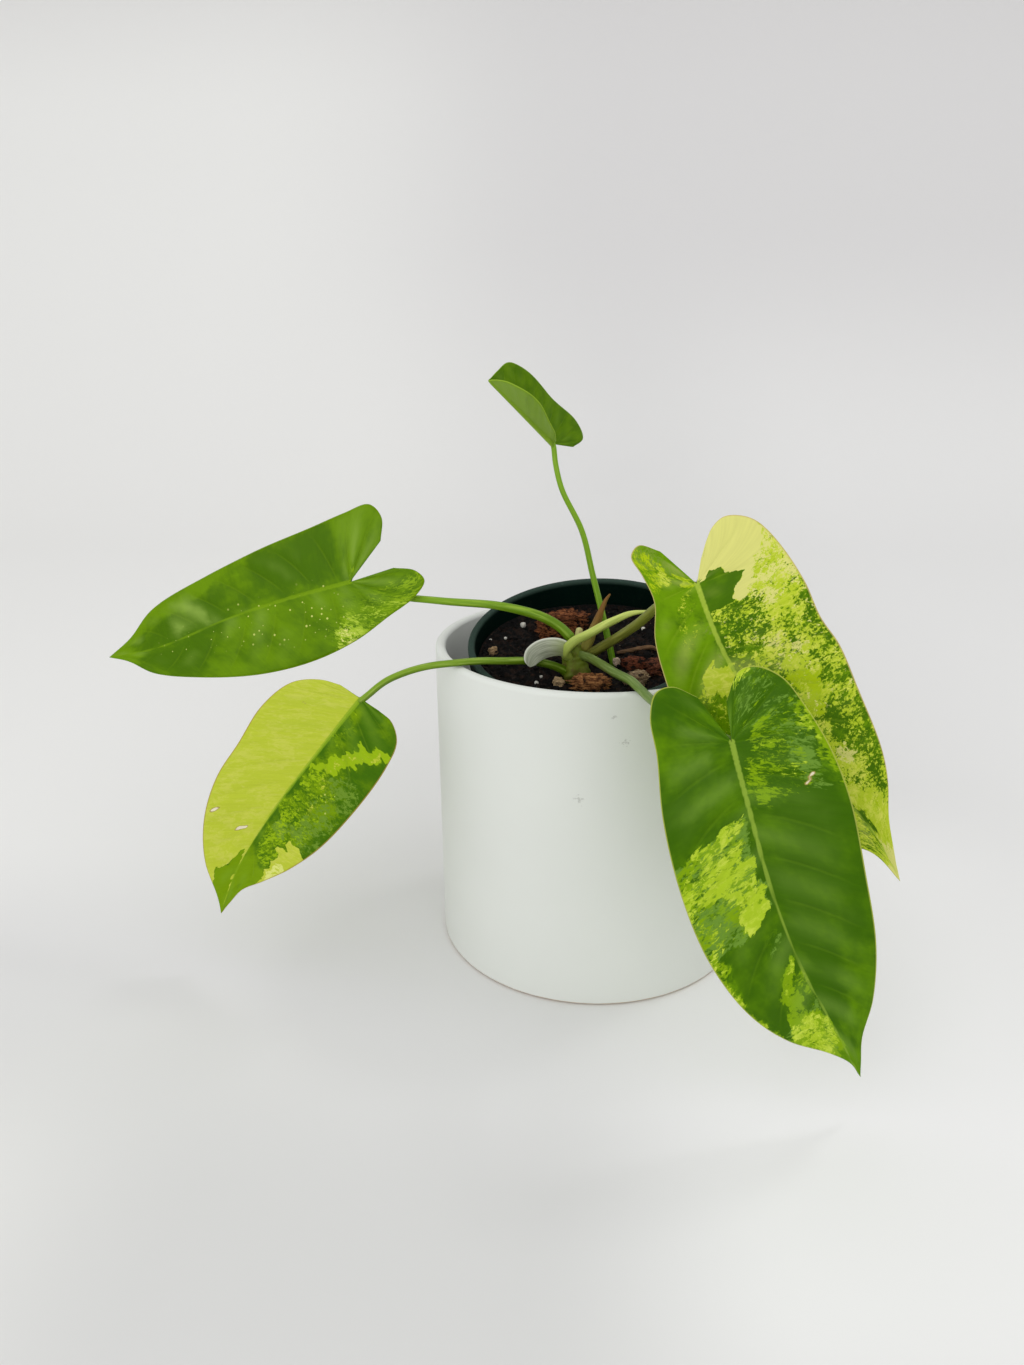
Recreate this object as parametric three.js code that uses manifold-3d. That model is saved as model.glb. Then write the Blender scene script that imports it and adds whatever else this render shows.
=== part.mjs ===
// Potted variegated philodendron: five leaves on long petioles, in a nursery pot that leans
// inside a plain white cachepot. Millimetres, +Z up, +X to the right and +Y to the back.
// The origin is the centre of the cachepot's base.
import * as THREE from "three";
import { mergeVertices } from "three/addons/utils/BufferGeometryUtils.js";
import Module from "manifold-3d";

const wasm = await Module();
wasm.setup();

// Clearance kept between pieces that touch
const GAP = 0.3;

// Cachepot: a straight cylinder with a rounded lip
const CACHEPOT_RADIUS = 70;
const CACHEPOT_HEIGHT = 141;
const CACHEPOT_WALL = 4.5;
const CACHEPOT_FLOOR = 7;
const CACHEPOT_LIP_RADIUS = 2;
const CACHEPOT_FOOT_CHAMFER = 1.2;
const CACHEPOT_INNER_CORNER = 5;
const CACHEPOT_SIDES = 64;

// Nursery pot: its rim leans to the front and a little to the left
const POT_RIM_RADIUS = 51.8;
const POT_RIM_CENTRE = new THREE.Vector3(-2.5, -14.5, 147.4);
const POT_LEAN_FRONT = THREE.MathUtils.degToRad(13.3);
const POT_LEAN_LEFT = THREE.MathUtils.degToRad(3.5);
const POT_BASE_RADIUS = 37;
const POT_LIP_WIDTH = 3;
const POT_LIP_HEIGHT = 8;
const POT_WALL = 1.2;
const POT_FLOOR = 1.6;
const POT_SIDES = 48;
const DRAIN_HOLES = 5;
const DRAIN_HOLE_RADIUS = 4;
const DRAIN_HOLE_CIRCLE = 24;

// The pot's depth is what lets the low side of its base stand on the cachepot's floor
const POT_LEAN = Math.acos(Math.cos(POT_LEAN_FRONT) * Math.cos(POT_LEAN_LEFT));
const POT_BASE_DROP = POT_BASE_RADIUS * Math.sin(POT_LEAN);
const POT_DEPTH =
  (POT_RIM_CENTRE.z - CACHEPOT_FLOOR - GAP - POT_BASE_DROP) / Math.cos(POT_LEAN);
const POT_WALL_TOP_RADIUS = POT_RIM_RADIUS - POT_LIP_WIDTH + POT_WALL;

// Soil: dropped below the pot's rim, with a lumpy top and grains of perlite
const SOIL_DROP = 12;
const SOIL_RINGS = 7;
const SOIL_LUMP = 0.55;
const SOIL_HEAP_SLOPE = 0.1;
const SOIL_HEAP_START = -8;

// Stems
const STEM_SIDES = 8;
const CROWN_SIDES = 12;

// Blades
const BLADE_THICKNESS = 0.8;
const MIDRIB_DEPTH = 1.2;
const MARGIN_WAVE = 0.5;
const BLADE_ROWS = 26;
const ROW_CROWDING = 1.25;
const BLADE_COLUMNS = [-1, -0.7, -0.4, -0.09, 0, 0.09, 0.4, 0.7, 1];
const VEIN_LEAD = 1.2;
const SPINE_STEP = 2;

// Colours
const COLOURS = {
  glaze: { color: 0xdcdedc, roughness: 0.35 },
  potPlastic: { color: 0x142d26, roughness: 0.5 },
  soil: { color: 0x1c1713, roughness: 0.95 },
  bark: { color: 0x6b3a24, roughness: 0.9 },
  pebble: { color: 0xa88f6c, roughness: 0.85 },
  crown: { color: 0x7f8f2c, roughness: 0.55 },
  petiole: { color: 0x6f9a25, roughness: 0.45 },
  sheath: { color: 0xc3cf7a, roughness: 0.5 },
  dryTip: { color: 0x7c5a26, roughness: 0.7 },
  greenBlade: { color: 0x46780f, roughness: 0.35 },
  paleBlade: { color: 0x9db52c, roughness: 0.35 },
};

// Each leaf hangs from its junction. "along" runs down the midrib to the tip and "up" is the
// normal of the upper face. Outline points are [across, along] in the flattened blade, from the
// sinus round the base lobe to the tip, across being positive on the leaf's right.
// fold lifts each half out of flat, arch droops the tip and sweep bends it sideways, all in
// radians, the last two per millimetre. fan is the share of the margin whose veins leave the
// junction itself.
const LEAVES = [
  {
    name: "upper_left",
    finish: COLOURS.greenBlade,
    junction: [-108, 0, 165.5],
    along: [-0.949, 0.006, -0.316],
    up: [-0.109, -0.944, 0.312],
    fold: [0.08, 0.08],
    arch: 0.0005,
    sweep: 0,
    fan: 0.22,
    waves: 3,
    midrib: [[0, 0], [1.5, 30], [1.4, 60], [-1.2, 98], [1.8, 124.5]],
    right: [
      [13, -19], [22.5, -22.5], [29.5, -19], [29.5, -7], [28, 12],
      [26, 38], [22.5, 66], [16, 96], [7, 111], [1.8, 124.5],
    ],
    left: [
      [0, -21], [-4, -30], [-9.5, -33], [-15, -27], [-20, -13], [-26, 4],
      [-29, 25], [-27.5, 52], [-20.5, 81], [-12, 103.5], [-3, 115], [1.8, 124.5],
    ],
    petiole: [
      [-9, -18, 146], [-14.6, -15, 150.7], [-23.2, -13, 154.9], [-40.7, -9, 157.9],
      [-67.7, -3, 158.2], [-93, 2.6, 159.2], [-103, 3.4, 162], [-107.6, 2.6, 164.9],
    ],
    petioleRadii: [2.2, 2, 1.75, 1.6, 1.5, 1.45],
  },
  {
    name: "lower_left",
    finish: COLOURS.paleBlade,
    junction: [-96.6, -40, 125.8],
    along: [-0.666, -0.159, -0.729],
    up: [-0.288, -0.846, 0.448],
    fold: [0.3, 0.05],
    arch: 0.002,
    sweep: 0.00144,
    fan: 0.16,
    waves: 2,
    midrib: [[0, 0], [-0.6, 30], [0.5, 66], [1, 98], [-1.5, 120]],
    right: [
      [10.6, 1.8], [18.5, 6], [27, 15], [31, 31], [30, 50],
      [29.5, 67], [24, 88], [15.5, 103], [4, 113.5], [-1.5, 120],
    ],
    left: [
      [-10.2, -2.6], [-18, -3.5], [-26, 0.5], [-30, 12], [-31.4, 36],
      [-29, 58], [-22, 77], [-13.3, 92], [-6, 103], [-3.5, 112], [-1.5, 120],
    ],
    petiole: [
      [-7.6, -23.5, 131.4], [-9.9, -24, 132.9], [-16.2, -27, 137.2], [-22.3, -30, 139.8],
      [-28.3, -34, 141.8], [-36.4, -36.5, 142.4], [-46.5, -38, 142.7], [-56.4, -41.2, 142.8],
      [-66.6, -42, 141.6], [-75, -42, 139.3], [-83.7, -41, 135.3], [-88.1, -40.5, 132.3],
      [-92.6, -40.2, 128.4], [-95.4, -40, 126],
    ],
    petioleRadii: [1.9, 1.6, 1.5, 1.45, 1.4, 1.4],
  },
  {
    name: "small_upright",
    finish: COLOURS.greenBlade,
    junction: [-18.5, 0, 225.3],
    along: [-0.58, -0.495, 0.647],
    up: [0.79, -0.1, 0.6],
    fold: [0.77, 0.77],
    arch: 0,
    sweep: 0,
    fan: 0.2,
    waves: 2,
    midrib: [[0, 0], [0, 20], [0, 41.7]],
    right: [
      [5.8, -10.2], [12, -12.9], [15.7, -5], [15.2, 13],
      [14.6, 31], [12, 37.5], [6, 40], [0, 41.7],
    ],
    left: [
      [-3.6, 2], [-8.4, 8.6], [-12.5, 17.5], [-14.5, 26], [-14.4, 34],
      [-10.5, 39.5], [-5, 41.3], [0, 41.7],
    ],
    petiole: [
      [9.2, -13, 127.5], [8.3, -12.5, 133.6], [4.1, -9, 151.4], [-1.2, -5, 171.5],
      [-6, -3, 189.6], [-14.6, -1, 206.5], [-17.4, 0, 217], [-18.4, 0.2, 224.6],
    ],
    petioleRadii: [1.5, 1.4, 1.25, 1.15, 1.1],
  },
  {
    name: "right_back",
    finish: COLOURS.paleBlade,
    junction: [35.5, -80, 187.1],
    along: [0.412, -0.241, -0.879],
    up: [0.096, -0.948, 0.304],
    fold: [0.14, 0.14],
    arch: 0.001,
    sweep: 0.00358,
    fan: 0.22,
    waves: 3,
    midrib: [[0, 0], [2, 30], [-1, 70], [-3.5, 107], [1, 125], [3.9, 132.4]],
    right: [
      [7.7, -15.7], [14, -20.5], [18, -18], [17, -10], [16.8, 0], [22, 11],
      [25, 23], [28, 40], [28.5, 60], [24, 80], [14, 100], [4.5, 113], [2.6, 120], [3.9, 132.4],
    ],
    left: [
      [-10.2, -16], [-17.5, -18.4], [-26, -13.4], [-31, -3], [-33.7, 15],
      [-33, 31], [-34, 45], [-31, 64], [-25, 88], [-19, 100.5], [-10, 112.3], [-2.5, 123.5],
      [3.9, 132.4],
    ],
    petiole: [
      [-4.2, -20, 138.4], [2.5, -27, 145.5], [10.4, -36, 153.7], [17.7, -46, 162.7],
      [22.8, -55, 170.7], [30, -67, 180], [34.2, -75, 184.6], [35.5, -77.8, 186.2],
    ],
    petioleRadii: [2.2, 2, 1.9, 1.8, 1.7],
  },
  {
    name: "right_front",
    finish: COLOURS.greenBlade,
    junction: [46.3, -115, 142.3],
    along: [0.225, -0.243, -0.943],
    up: [-0.046, -0.97, 0.239],
    fold: [0.14, 0.14],
    arch: 0.0024,
    sweep: 0.00249,
    fan: 0.22,
    waves: 3,
    midrib: [[0, 0], [-0.5, 25], [0.2, 50], [0.6, 85], [-0.2, 112], [1.2, 137.9]],
    right: [
      [8.4, -17.3], [15.9, -22.4], [21.5, -21.6], [25, -14], [25.5, 0], [28.3, 19],
      [29.8, 45], [29, 70], [24, 92.5], [16, 109], [6, 121.5], [1.5, 130], [1.2, 137.9],
    ],
    left: [
      [-1, -14], [-6.8, -23], [-12.5, -23.6], [-20, -18.5], [-25, -9], [-30.5, 7],
      [-33, 28], [-31, 55], [-26, 83], [-17, 106], [-7, 121], [-2, 131.5], [1.2, 137.9],
    ],
    petiole: [
      [-7.6, -21.6, 140.4], [-5.6, -24, 141.3], [-1.6, -29, 141.9], [1.8, -36, 142.3],
      [5.2, -43, 142.6], [8.4, -50, 143], [14.6, -61.5, 143.6], [17.4, -69.5, 143.6],
      [20.9, -86, 145.5], [22.8, -95.5, 147.3], [26.5, -103, 147.6], [33, -107.5, 146],
      [40, -110.8, 143.8], [46.4, -112.8, 141.7],
    ],
    petioleRadii: [1.9, 1.8, 1.8, 1.7, 1.6, 1.6],
  },
];

// The crown and what else grows from it
const CROWN_AXIS = [[-6.8, -23.2, 124], [-7.3, -23, 131], [-8.1, -22, 138.4], [-9.2, -21, 146.4]];
const CROWN_RADII = [4.2, 6.2, 5.9, 5.2, 4.2, 2.4];
const STALK_STUB = [[-7.6, -18.4, 141], [-6.9, -15.6, 146], [-6.1, -14, 150.4]];
const STALK_STUB_RADII = [1.5, 1.6, 1.5];
const PALE_SHEATH = [
  [-9.5, -23.5, 139.5], [-12, -27.4, 143.4], [-8.4, -28.2, 148.6], [-1.8, -27.5, 152],
  [6.3, -28, 157], [14.3, -30.5, 161.5], [20.9, -34, 163.7],
];
const PALE_SHEATH_RADII = [1.9, 2, 1.9, 1.7, 1.3, 0.5];
const BROWN_SHEATH = [
  [-4.6, -21, 142], [-2.6, -20.2, 145.8], [-1, -19, 149.6], [1, -18, 153.9],
  [2.8, -17.5, 159.2], [4.6, -17.2, 163.5], [6.4, -17, 166.2],
];
const BROWN_SHEATH_RADII = [2.2, 2.2, 2, 1.6, 1, 0.4];
const WHITE_SHEATH_TOP = [
  [-9.8, -24.6, 146.4], [-13.2, -26.4, 148.8], [-16.2, -28, 149.9], [-19.7, -30, 150.3],
  [-22.7, -31.8, 150], [-25.7, -33.6, 148.8], [-27.7, -35, 147], [-28.5, -36.2, 144.5],
  [-28.1, -37, 142.3], [-26.5, -37.2, 140.5],
];
const WHITE_SHEATH_LOW = [
  [-12, -27.4, 141.5], [-14.5, -29.6, 142.8], [-17.1, -31.6, 143.1], [-19.6, -33.2, 142.9],
  [-22, -34.8, 142], [-24, -36.2, 140.6], [-26.1, -37.2, 140.1],
];
const WHITE_SHEATH_BULGE = new THREE.Vector3(-0.3, -2.2, 0.8);

// Pieces that lie on the soil, in the leaning pot's own frame: place is [across, back], lift
// is how far the piece's centre stands above the soil, and turn is about the soil's normal.
const SOIL_PIECES = [
  { name: "bark_back", place: [-11.5, 23], size: [20, 12, 13], lift: 3.8, turn: 0.15, seed: 3 },
  { name: "bark_front", place: [0.5, -22.5], size: [15, 7, 7], lift: 1.6, turn: -0.1, seed: 5 },
  { name: "bark_pale", place: [19.6, -19.6], size: [8.6, 5.4, 6.4], lift: 1.2, turn: 0.1, seed: 8 },
  { name: "bark_right", place: [19.5, -7.5], size: [10, 6, 5], lift: 1.2, turn: -0.3, seed: 13 },
  { name: "bark_far_right", place: [31, -10], size: [14, 10, 6], lift: 1.2, turn: 0.3, seed: 34 },
];
const PEBBLES = [
  { name: "pebble_front", place: [-13.2, -19.4], size: [4.6, 4, 4.8], lift: 1, turn: 0, seed: 2 },
  { name: "pebble_left", place: [-42, 3], size: [3.8, 3, 3.8], lift: 3.9, turn: 0.4, seed: 6 },
  { name: "pebble_behind", place: [11.6, -5.6], size: [3, 2.6, 4.4], lift: 1.2, turn: 0, seed: 9 },
];
// Grains of perlite fused in the soil: [across, back, radius]
const PERLITE = [
  [-30.3, 27.8, 1.4], [-37.7, 16.5, 0.9], [-44, 13.4, 0.8], [-44.6, -4, 0.9], [-22.2, -19.8, 0.9],
  [-20.4, -14.6, 0.7], [-38, 32, 0.8], [-20, 36, 0.8], [24, 22, 0.9], [8, -34, 0.8], [36, 6, 0.9],
];
const TWIG = [[11.5, 2.3], [17.5, 3.9], [22.7, 5.5], [27, 5.6], [30, 3]];
const TWIG_LIFT = 0.7;
const TWIG_RADII = [0.7, 1, 1, 0.8];

// Numbers that repeat on each run
function seededRandom(seed) {
  let state = seed;
  return () => {
    state = (state * 1664525 + 1013904223) % 4294967296;
    return state / 4294967296;
  };
}

const toVector = (point) => new THREE.Vector3(...point);

const mix = THREE.MathUtils.lerp;

// The value at share u of an evenly spaced list
function along(list, u) {
  const place = u * (list.length - 1);
  const index = Math.min(Math.floor(place), list.length - 2);
  return mix(list[index], list[index + 1], place - index);
}

function smoothCurve(points) {
  return new THREE.CatmullRomCurve3(points.map(toVector), false, "centripetal");
}

// An outline in the plane, as a curve with no height
function smoothOutline(points) {
  return smoothCurve(points.map(([x, y]) => [x, y, 0]));
}

// The same surface with shared vertices and no collapsed triangles
function weld(geometry) {
  const bare = geometry.clone();
  bare.deleteAttribute("normal");
  bare.deleteAttribute("uv");
  const welded = mergeVertices(bare, 1e-3);
  const corners = welded.index.array;
  const kept = [];
  for (let i = 0; i < corners.length; i += 3) {
    const [a, b, c] = [corners[i], corners[i + 1], corners[i + 2]];
    if (a !== b && b !== c && c !== a) kept.push(a, b, c);
  }
  welded.setIndex(kept);
  return welded;
}

function toSolid(geometry) {
  const welded = weld(geometry);
  return new wasm.Manifold(
    new wasm.Mesh({
      numProp: 3,
      vertProperties: new Float32Array(welded.getAttribute("position").array),
      triVerts: new Uint32Array(welded.index.array),
    }),
  );
}

function toGeometry(solid) {
  const mesh = solid.getMesh();
  const geometry = new THREE.BufferGeometry();
  geometry.setAttribute("position", new THREE.BufferAttribute(mesh.vertProperties, 3));
  geometry.setIndex(new THREE.BufferAttribute(mesh.triVerts, 1));
  geometry.computeVertexNormals();
  return geometry;
}

// What is left of a solid once others have been cut from it: its largest piece
function cutClear(geometry, cutters) {
  let solid = toSolid(geometry);
  for (const cutter of cutters) solid = solid.subtract(toSolid(cutter));
  const pieces = solid.decompose().sort((a, b) => b.volume() - a.volume());
  return toGeometry(pieces[0]);
}

// A profile of [radius, height] points turned about the Z axis
function lathe(profile, sides) {
  const geometry = new THREE.LatheGeometry(profile, sides);
  geometry.rotateX(Math.PI / 2);
  return geometry;
}

// A closed round stem along a curve, whose radius follows an evenly spaced list
function stemGeometry(points, radii, grow = 0, sides = STEM_SIDES) {
  const curve = smoothCurve(points);
  const steps = Math.ceil(curve.getLength() / 6) + 4;
  const geometry = new THREE.CylinderGeometry(1, 1, 1, sides, steps);
  const frames = curve.computeFrenetFrames(steps, false);
  const position = geometry.getAttribute("position");
  const place = new THREE.Vector3();
  for (let i = 0; i < position.count; i++) {
    const u = THREE.MathUtils.clamp(position.getY(i) + 0.5, 0, 1);
    const ring = Math.round(u * steps);
    const radius = along(radii, u) + grow;
    place.copy(curve.getPointAt(u));
    place.addScaledVector(frames.normals[ring], position.getX(i) * radius);
    place.addScaledVector(frames.binormals[ring], -position.getZ(i) * radius);
    position.setXYZ(i, place.x, place.y, place.z);
  }
  geometry.computeVertexNormals();
  return geometry;
}

// A thin closed solid on both sides of an open sheet. Both faces have the same triangles.
// The sheet's attribute "rib" holds the extra depth under each vertex.
function thicken(sheet, thickness, grow = 0) {
  const welded = weld(sheet);
  welded.computeVertexNormals();
  const position = welded.getAttribute("position");
  const normal = welded.getAttribute("normal");
  const rib = welded.getAttribute("rib");
  const count = position.count;
  const points = new Float32Array(count * 6);
  const centre = new THREE.Vector3();
  const out = new THREE.Vector3();
  for (let i = 0; i < count; i++) {
    centre.fromBufferAttribute(position, i);
    out.fromBufferAttribute(normal, i);
    const above = thickness / 2 + grow;
    const below = thickness / 2 + grow + rib.getX(i);
    centre.clone().addScaledVector(out, above).toArray(points, i * 3);
    centre.clone().addScaledVector(out, -below).toArray(points, (count + i) * 3);
  }
  const corners = welded.index.array;
  const faces = [];
  const edges = new Map();
  for (let i = 0; i < corners.length; i += 3) {
    const [a, b, c] = [corners[i], corners[i + 1], corners[i + 2]];
    faces.push(a, b, c, count + c, count + b, count + a);
    for (const [from, to] of [[a, b], [b, c], [c, a]]) edges.set(`${from}_${to}`, [from, to]);
  }
  for (const [from, to] of edges.values()) {
    if (edges.has(`${to}_${from}`)) continue;
    faces.push(to, from, count + from, to, count + from, count + to);
  }
  const solid = new THREE.BufferGeometry();
  solid.setAttribute("position", new THREE.BufferAttribute(points, 3));
  solid.setIndex(faces);
  return solid;
}

// The blade's bent surface: a function from a point of the flattened blade to space
function bladeSurface(leaf) {
  const forward = toVector(leaf.along).normalize();
  const upward = toVector(leaf.up);
  upward.addScaledVector(forward, -upward.dot(forward)).normalize();
  const rightward = new THREE.Vector3().crossVectors(forward, upward);
  const basis = new THREE.Matrix4().makeBasis(rightward, forward, upward);
  const start = {
    point: toVector(leaf.junction),
    turn: new THREE.Quaternion().setFromRotationMatrix(basis),
  };
  const axis = (turn, x, y, z) => new THREE.Vector3(x, y, z).applyQuaternion(turn);

  const length = leaf.right.at(-1)[1];
  const stations = [start];
  for (let y = 0; y < length + SPINE_STEP; y += SPINE_STEP) {
    const last = stations.at(-1);
    const bend = axis(last.turn, -leaf.arch, 0, leaf.sweep).multiplyScalar(SPINE_STEP);
    const angle = bend.length();
    const turn = last.turn.clone();
    if (angle > 0) {
      turn.premultiply(new THREE.Quaternion().setFromAxisAngle(bend.normalize(), angle));
    }
    const middle = axis(last.turn, 0, 1, 0).add(axis(turn, 0, 1, 0)).multiplyScalar(SPINE_STEP / 2);
    stations.push({ point: last.point.clone().add(middle), turn });
  }

  return (x, y, lift) => {
    const place = Math.max(y, 0) / SPINE_STEP;
    const index = Math.min(Math.floor(place), stations.length - 2);
    const share = place - index;
    const turn = stations[index].turn.clone().slerp(stations[index + 1].turn, share);
    const point = stations[index].point.clone().lerp(stations[index + 1].point, share);
    point.add(axis(turn, 0, Math.min(y, 0), 0));
    const fold = x > 0 ? leaf.fold[0] : leaf.fold[1];
    point.add(axis(turn, x * Math.cos(fold), 0, Math.abs(x) * Math.sin(fold) + lift));
    return point;
  };
}

// The blade as an open sheet: rows follow the veins from the midrib to the margin
function bladeSheet(leaf) {
  const surface = bladeSurface(leaf);
  const margins = { right: smoothOutline(leaf.right), left: smoothOutline(leaf.left) };
  const midrib = smoothOutline(leaf.midrib);
  const length = leaf.right.at(-1)[1];
  const columns = BLADE_COLUMNS.length - 1;
  const sheet = new THREE.PlaneGeometry(1, 1, columns, BLADE_ROWS);
  const position = sheet.getAttribute("position");
  const ribs = new Float32Array(position.count);
  for (let i = 0; i < position.count; i++) {
    const share = (1 - Math.floor(i / (columns + 1)) / BLADE_ROWS) ** ROW_CROWDING;
    const across = BLADE_COLUMNS[i % (columns + 1)];
    const travel = Math.max(0, (share - leaf.fan) / (1 - leaf.fan)) ** VEIN_LEAD;
    const root = midrib.getPointAt(travel);
    const end = (across > 0 ? margins.right : margins.left).getPointAt(share);
    const spot = root.lerp(end, Math.abs(across));
    const phase = share * leaf.waves * 2 * Math.PI + (across > 0 ? 0 : 1.3);
    const edge = Math.max(0, Math.abs(across) - 0.4) / 0.6;
    const lift = MARGIN_WAVE * edge * Math.sin(Math.PI * share) * Math.sin(phase);
    const point = surface(spot.x, spot.y, lift);
    position.setXYZ(i, point.x, point.y, point.z);
    ribs[i] = across === 0 ? MIDRIB_DEPTH * (1 - 0.85 * (root.y / length)) : 0;
  }
  sheet.setAttribute("rib", new THREE.BufferAttribute(ribs, 1));
  return sheet;
}

// The white sheath: a sheet between its top and low edges that bulges to the front
function whiteSheathSheet() {
  const top = smoothCurve(WHITE_SHEATH_TOP);
  const low = smoothCurve(WHITE_SHEATH_LOW);
  const [columns, rows] = [4, 9];
  const sheet = new THREE.PlaneGeometry(1, 1, columns, rows);
  const position = sheet.getAttribute("position");
  for (let i = 0; i < position.count; i++) {
    const share = Math.floor(i / (columns + 1)) / rows;
    const across = (i % (columns + 1)) / columns;
    const bulge = Math.sin(Math.PI * across) * Math.sin(Math.PI * Math.min(1, share + 0.25));
    const point = top.getPointAt(share).lerp(low.getPointAt(share), across);
    point.addScaledVector(WHITE_SHEATH_BULGE, bulge);
    position.setXYZ(i, point.x, point.y, point.z);
  }
  const ribs = new THREE.BufferAttribute(new Float32Array(position.count), 1);
  return sheet.setAttribute("rib", ribs);
}

// A lump of bark or stone: a ball squared off to its size, with each corner moved a little
function lumpGeometry(piece, grow = 0) {
  const random = seededRandom(piece.seed);
  const lump = weld(new THREE.IcosahedronGeometry(1, 1));
  const position = lump.getAttribute("position");
  for (let i = 0; i < position.count; i++) {
    const spread = 0.82 + 0.36 * random();
    const corner = [position.getX(i), position.getY(i), position.getZ(i)];
    const moved = corner.map((value, axis) => {
      const half = (piece.size[axis] / 2) * spread;
      return Math.sign(value) * Math.abs(value) ** 0.75 * (half + grow);
    });
    position.setXYZ(i, ...moved);
  }
  lump.rotateZ(piece.turn);
  lump.translate(piece.place[0], piece.place[1], piece.lift - SOIL_DROP);
  return lump;
}

function cachepotGeometry() {
  const inner = CACHEPOT_RADIUS - CACHEPOT_WALL;
  const lipHeight = CACHEPOT_HEIGHT - CACHEPOT_LIP_RADIUS;
  const profile = new THREE.Path();
  profile.moveTo(0, 0);
  profile.lineTo(CACHEPOT_RADIUS - CACHEPOT_FOOT_CHAMFER, 0);
  profile.lineTo(CACHEPOT_RADIUS, CACHEPOT_FOOT_CHAMFER);
  profile.lineTo(CACHEPOT_RADIUS, lipHeight);
  profile.absarc(
    CACHEPOT_RADIUS - CACHEPOT_LIP_RADIUS, lipHeight, CACHEPOT_LIP_RADIUS, 0, Math.PI / 2,
  );
  profile.absarc(inner + CACHEPOT_LIP_RADIUS, lipHeight, CACHEPOT_LIP_RADIUS, Math.PI / 2, Math.PI);
  profile.lineTo(inner, CACHEPOT_FLOOR + CACHEPOT_INNER_CORNER);
  profile.lineTo(inner - CACHEPOT_INNER_CORNER, CACHEPOT_FLOOR);
  profile.lineTo(0, CACHEPOT_FLOOR);
  return lathe(profile.getPoints(2), CACHEPOT_SIDES);
}

// The nursery pot's inner radius at a height below its rim
function potInnerRadius(height) {
  const share = (height + POT_DEPTH) / (POT_DEPTH - POT_LIP_HEIGHT);
  return mix(POT_BASE_RADIUS, POT_WALL_TOP_RADIUS, share) - POT_WALL;
}

function nurseryPotGeometry() {
  const lipInner = POT_RIM_RADIUS - POT_LIP_WIDTH;
  const floor = POT_FLOOR - POT_DEPTH;
  const profile = [
    [0, -POT_DEPTH],
    [POT_BASE_RADIUS, -POT_DEPTH],
    [POT_WALL_TOP_RADIUS, -POT_LIP_HEIGHT],
    [POT_RIM_RADIUS - 0.4, -POT_LIP_HEIGHT],
    [POT_RIM_RADIUS, -POT_LIP_HEIGHT + 0.6],
    [POT_RIM_RADIUS, -0.9],
    [POT_RIM_RADIUS - 0.8, 0],
    [lipInner + 0.8, 0],
    [lipInner, -0.9],
    [lipInner, -POT_LIP_HEIGHT],
    [potInnerRadius(floor), floor],
    [0, floor],
  ];
  const shell = lathe(profile.map(([x, y]) => new THREE.Vector2(x, y)), POT_SIDES);
  const holes = [];
  for (let i = 0; i < DRAIN_HOLES; i++) {
    const angle = (i / DRAIN_HOLES) * 2 * Math.PI;
    const hole = new THREE.CylinderGeometry(DRAIN_HOLE_RADIUS, DRAIN_HOLE_RADIUS, POT_FLOOR * 3, 12);
    hole.rotateX(Math.PI / 2);
    hole.translate(
      DRAIN_HOLE_CIRCLE * Math.cos(angle), DRAIN_HOLE_CIRCLE * Math.sin(angle), -POT_DEPTH,
    );
    holes.push(hole);
  }
  return cutClear(shell, holes);
}

// How far the soil's top stands above its drop: lumps that fade out at the pot's wall, and a
// heap towards the left
function soilRise(x, y) {
  const radius = Math.hypot(x, y);
  const fade = THREE.MathUtils.clamp((potInnerRadius(-SOIL_DROP) - radius) / 8, 0, 1);
  const wave = Math.sin(0.42 * x + 1.3) * Math.cos(0.36 * y + 0.4) + Math.sin(0.8 * x + 0.6 * y);
  const heap = SOIL_HEAP_SLOPE * Math.max(0, SOIL_HEAP_START - x);
  return SOIL_LUMP * fade * wave + heap;
}

function soilGeometry(pockets) {
  const bottom = POT_FLOOR + GAP - POT_DEPTH;
  const topRadius = potInnerRadius(-SOIL_DROP) - GAP;
  const profile = [new THREE.Vector2(0, bottom)];
  profile.push(new THREE.Vector2(potInnerRadius(bottom) - GAP, bottom));
  for (let ring = SOIL_RINGS; ring >= 0; ring--) {
    profile.push(new THREE.Vector2((topRadius * ring) / SOIL_RINGS, -SOIL_DROP));
  }
  const body = lathe(profile, POT_SIDES);
  const position = body.getAttribute("position");
  for (let i = 0; i < position.count; i++) {
    if (position.getZ(i) < -SOIL_DROP - 1e-3) continue;
    position.setZ(i, -SOIL_DROP + soilRise(position.getX(i), position.getY(i)));
  }
  let solid = toSolid(body);
  for (const [x, y, size] of PERLITE) {
    const grain = new THREE.IcosahedronGeometry(size, 0);
    grain.translate(x, y, -SOIL_DROP + soilRise(x, y) + size * 0.3);
    solid = solid.add(toSolid(grain));
  }
  return cutClear(toGeometry(solid), pockets);
}

function namedMesh(name, geometry, { color, roughness }) {
  const mesh = new THREE.Mesh(geometry, new THREE.MeshStandardMaterial({ color, roughness }));
  mesh.name = name;
  return mesh;
}

// The pot's own frame: origin at the centre of its rim, +Z out of its mouth
const potGroup = new THREE.Group();
potGroup.position.copy(POT_RIM_CENTRE);
potGroup.rotation.set(POT_LEAN_FRONT, -POT_LEAN_LEFT, 0, "YXZ");
potGroup.updateMatrix();
const intoPot = potGroup.matrix.clone().invert();

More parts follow.
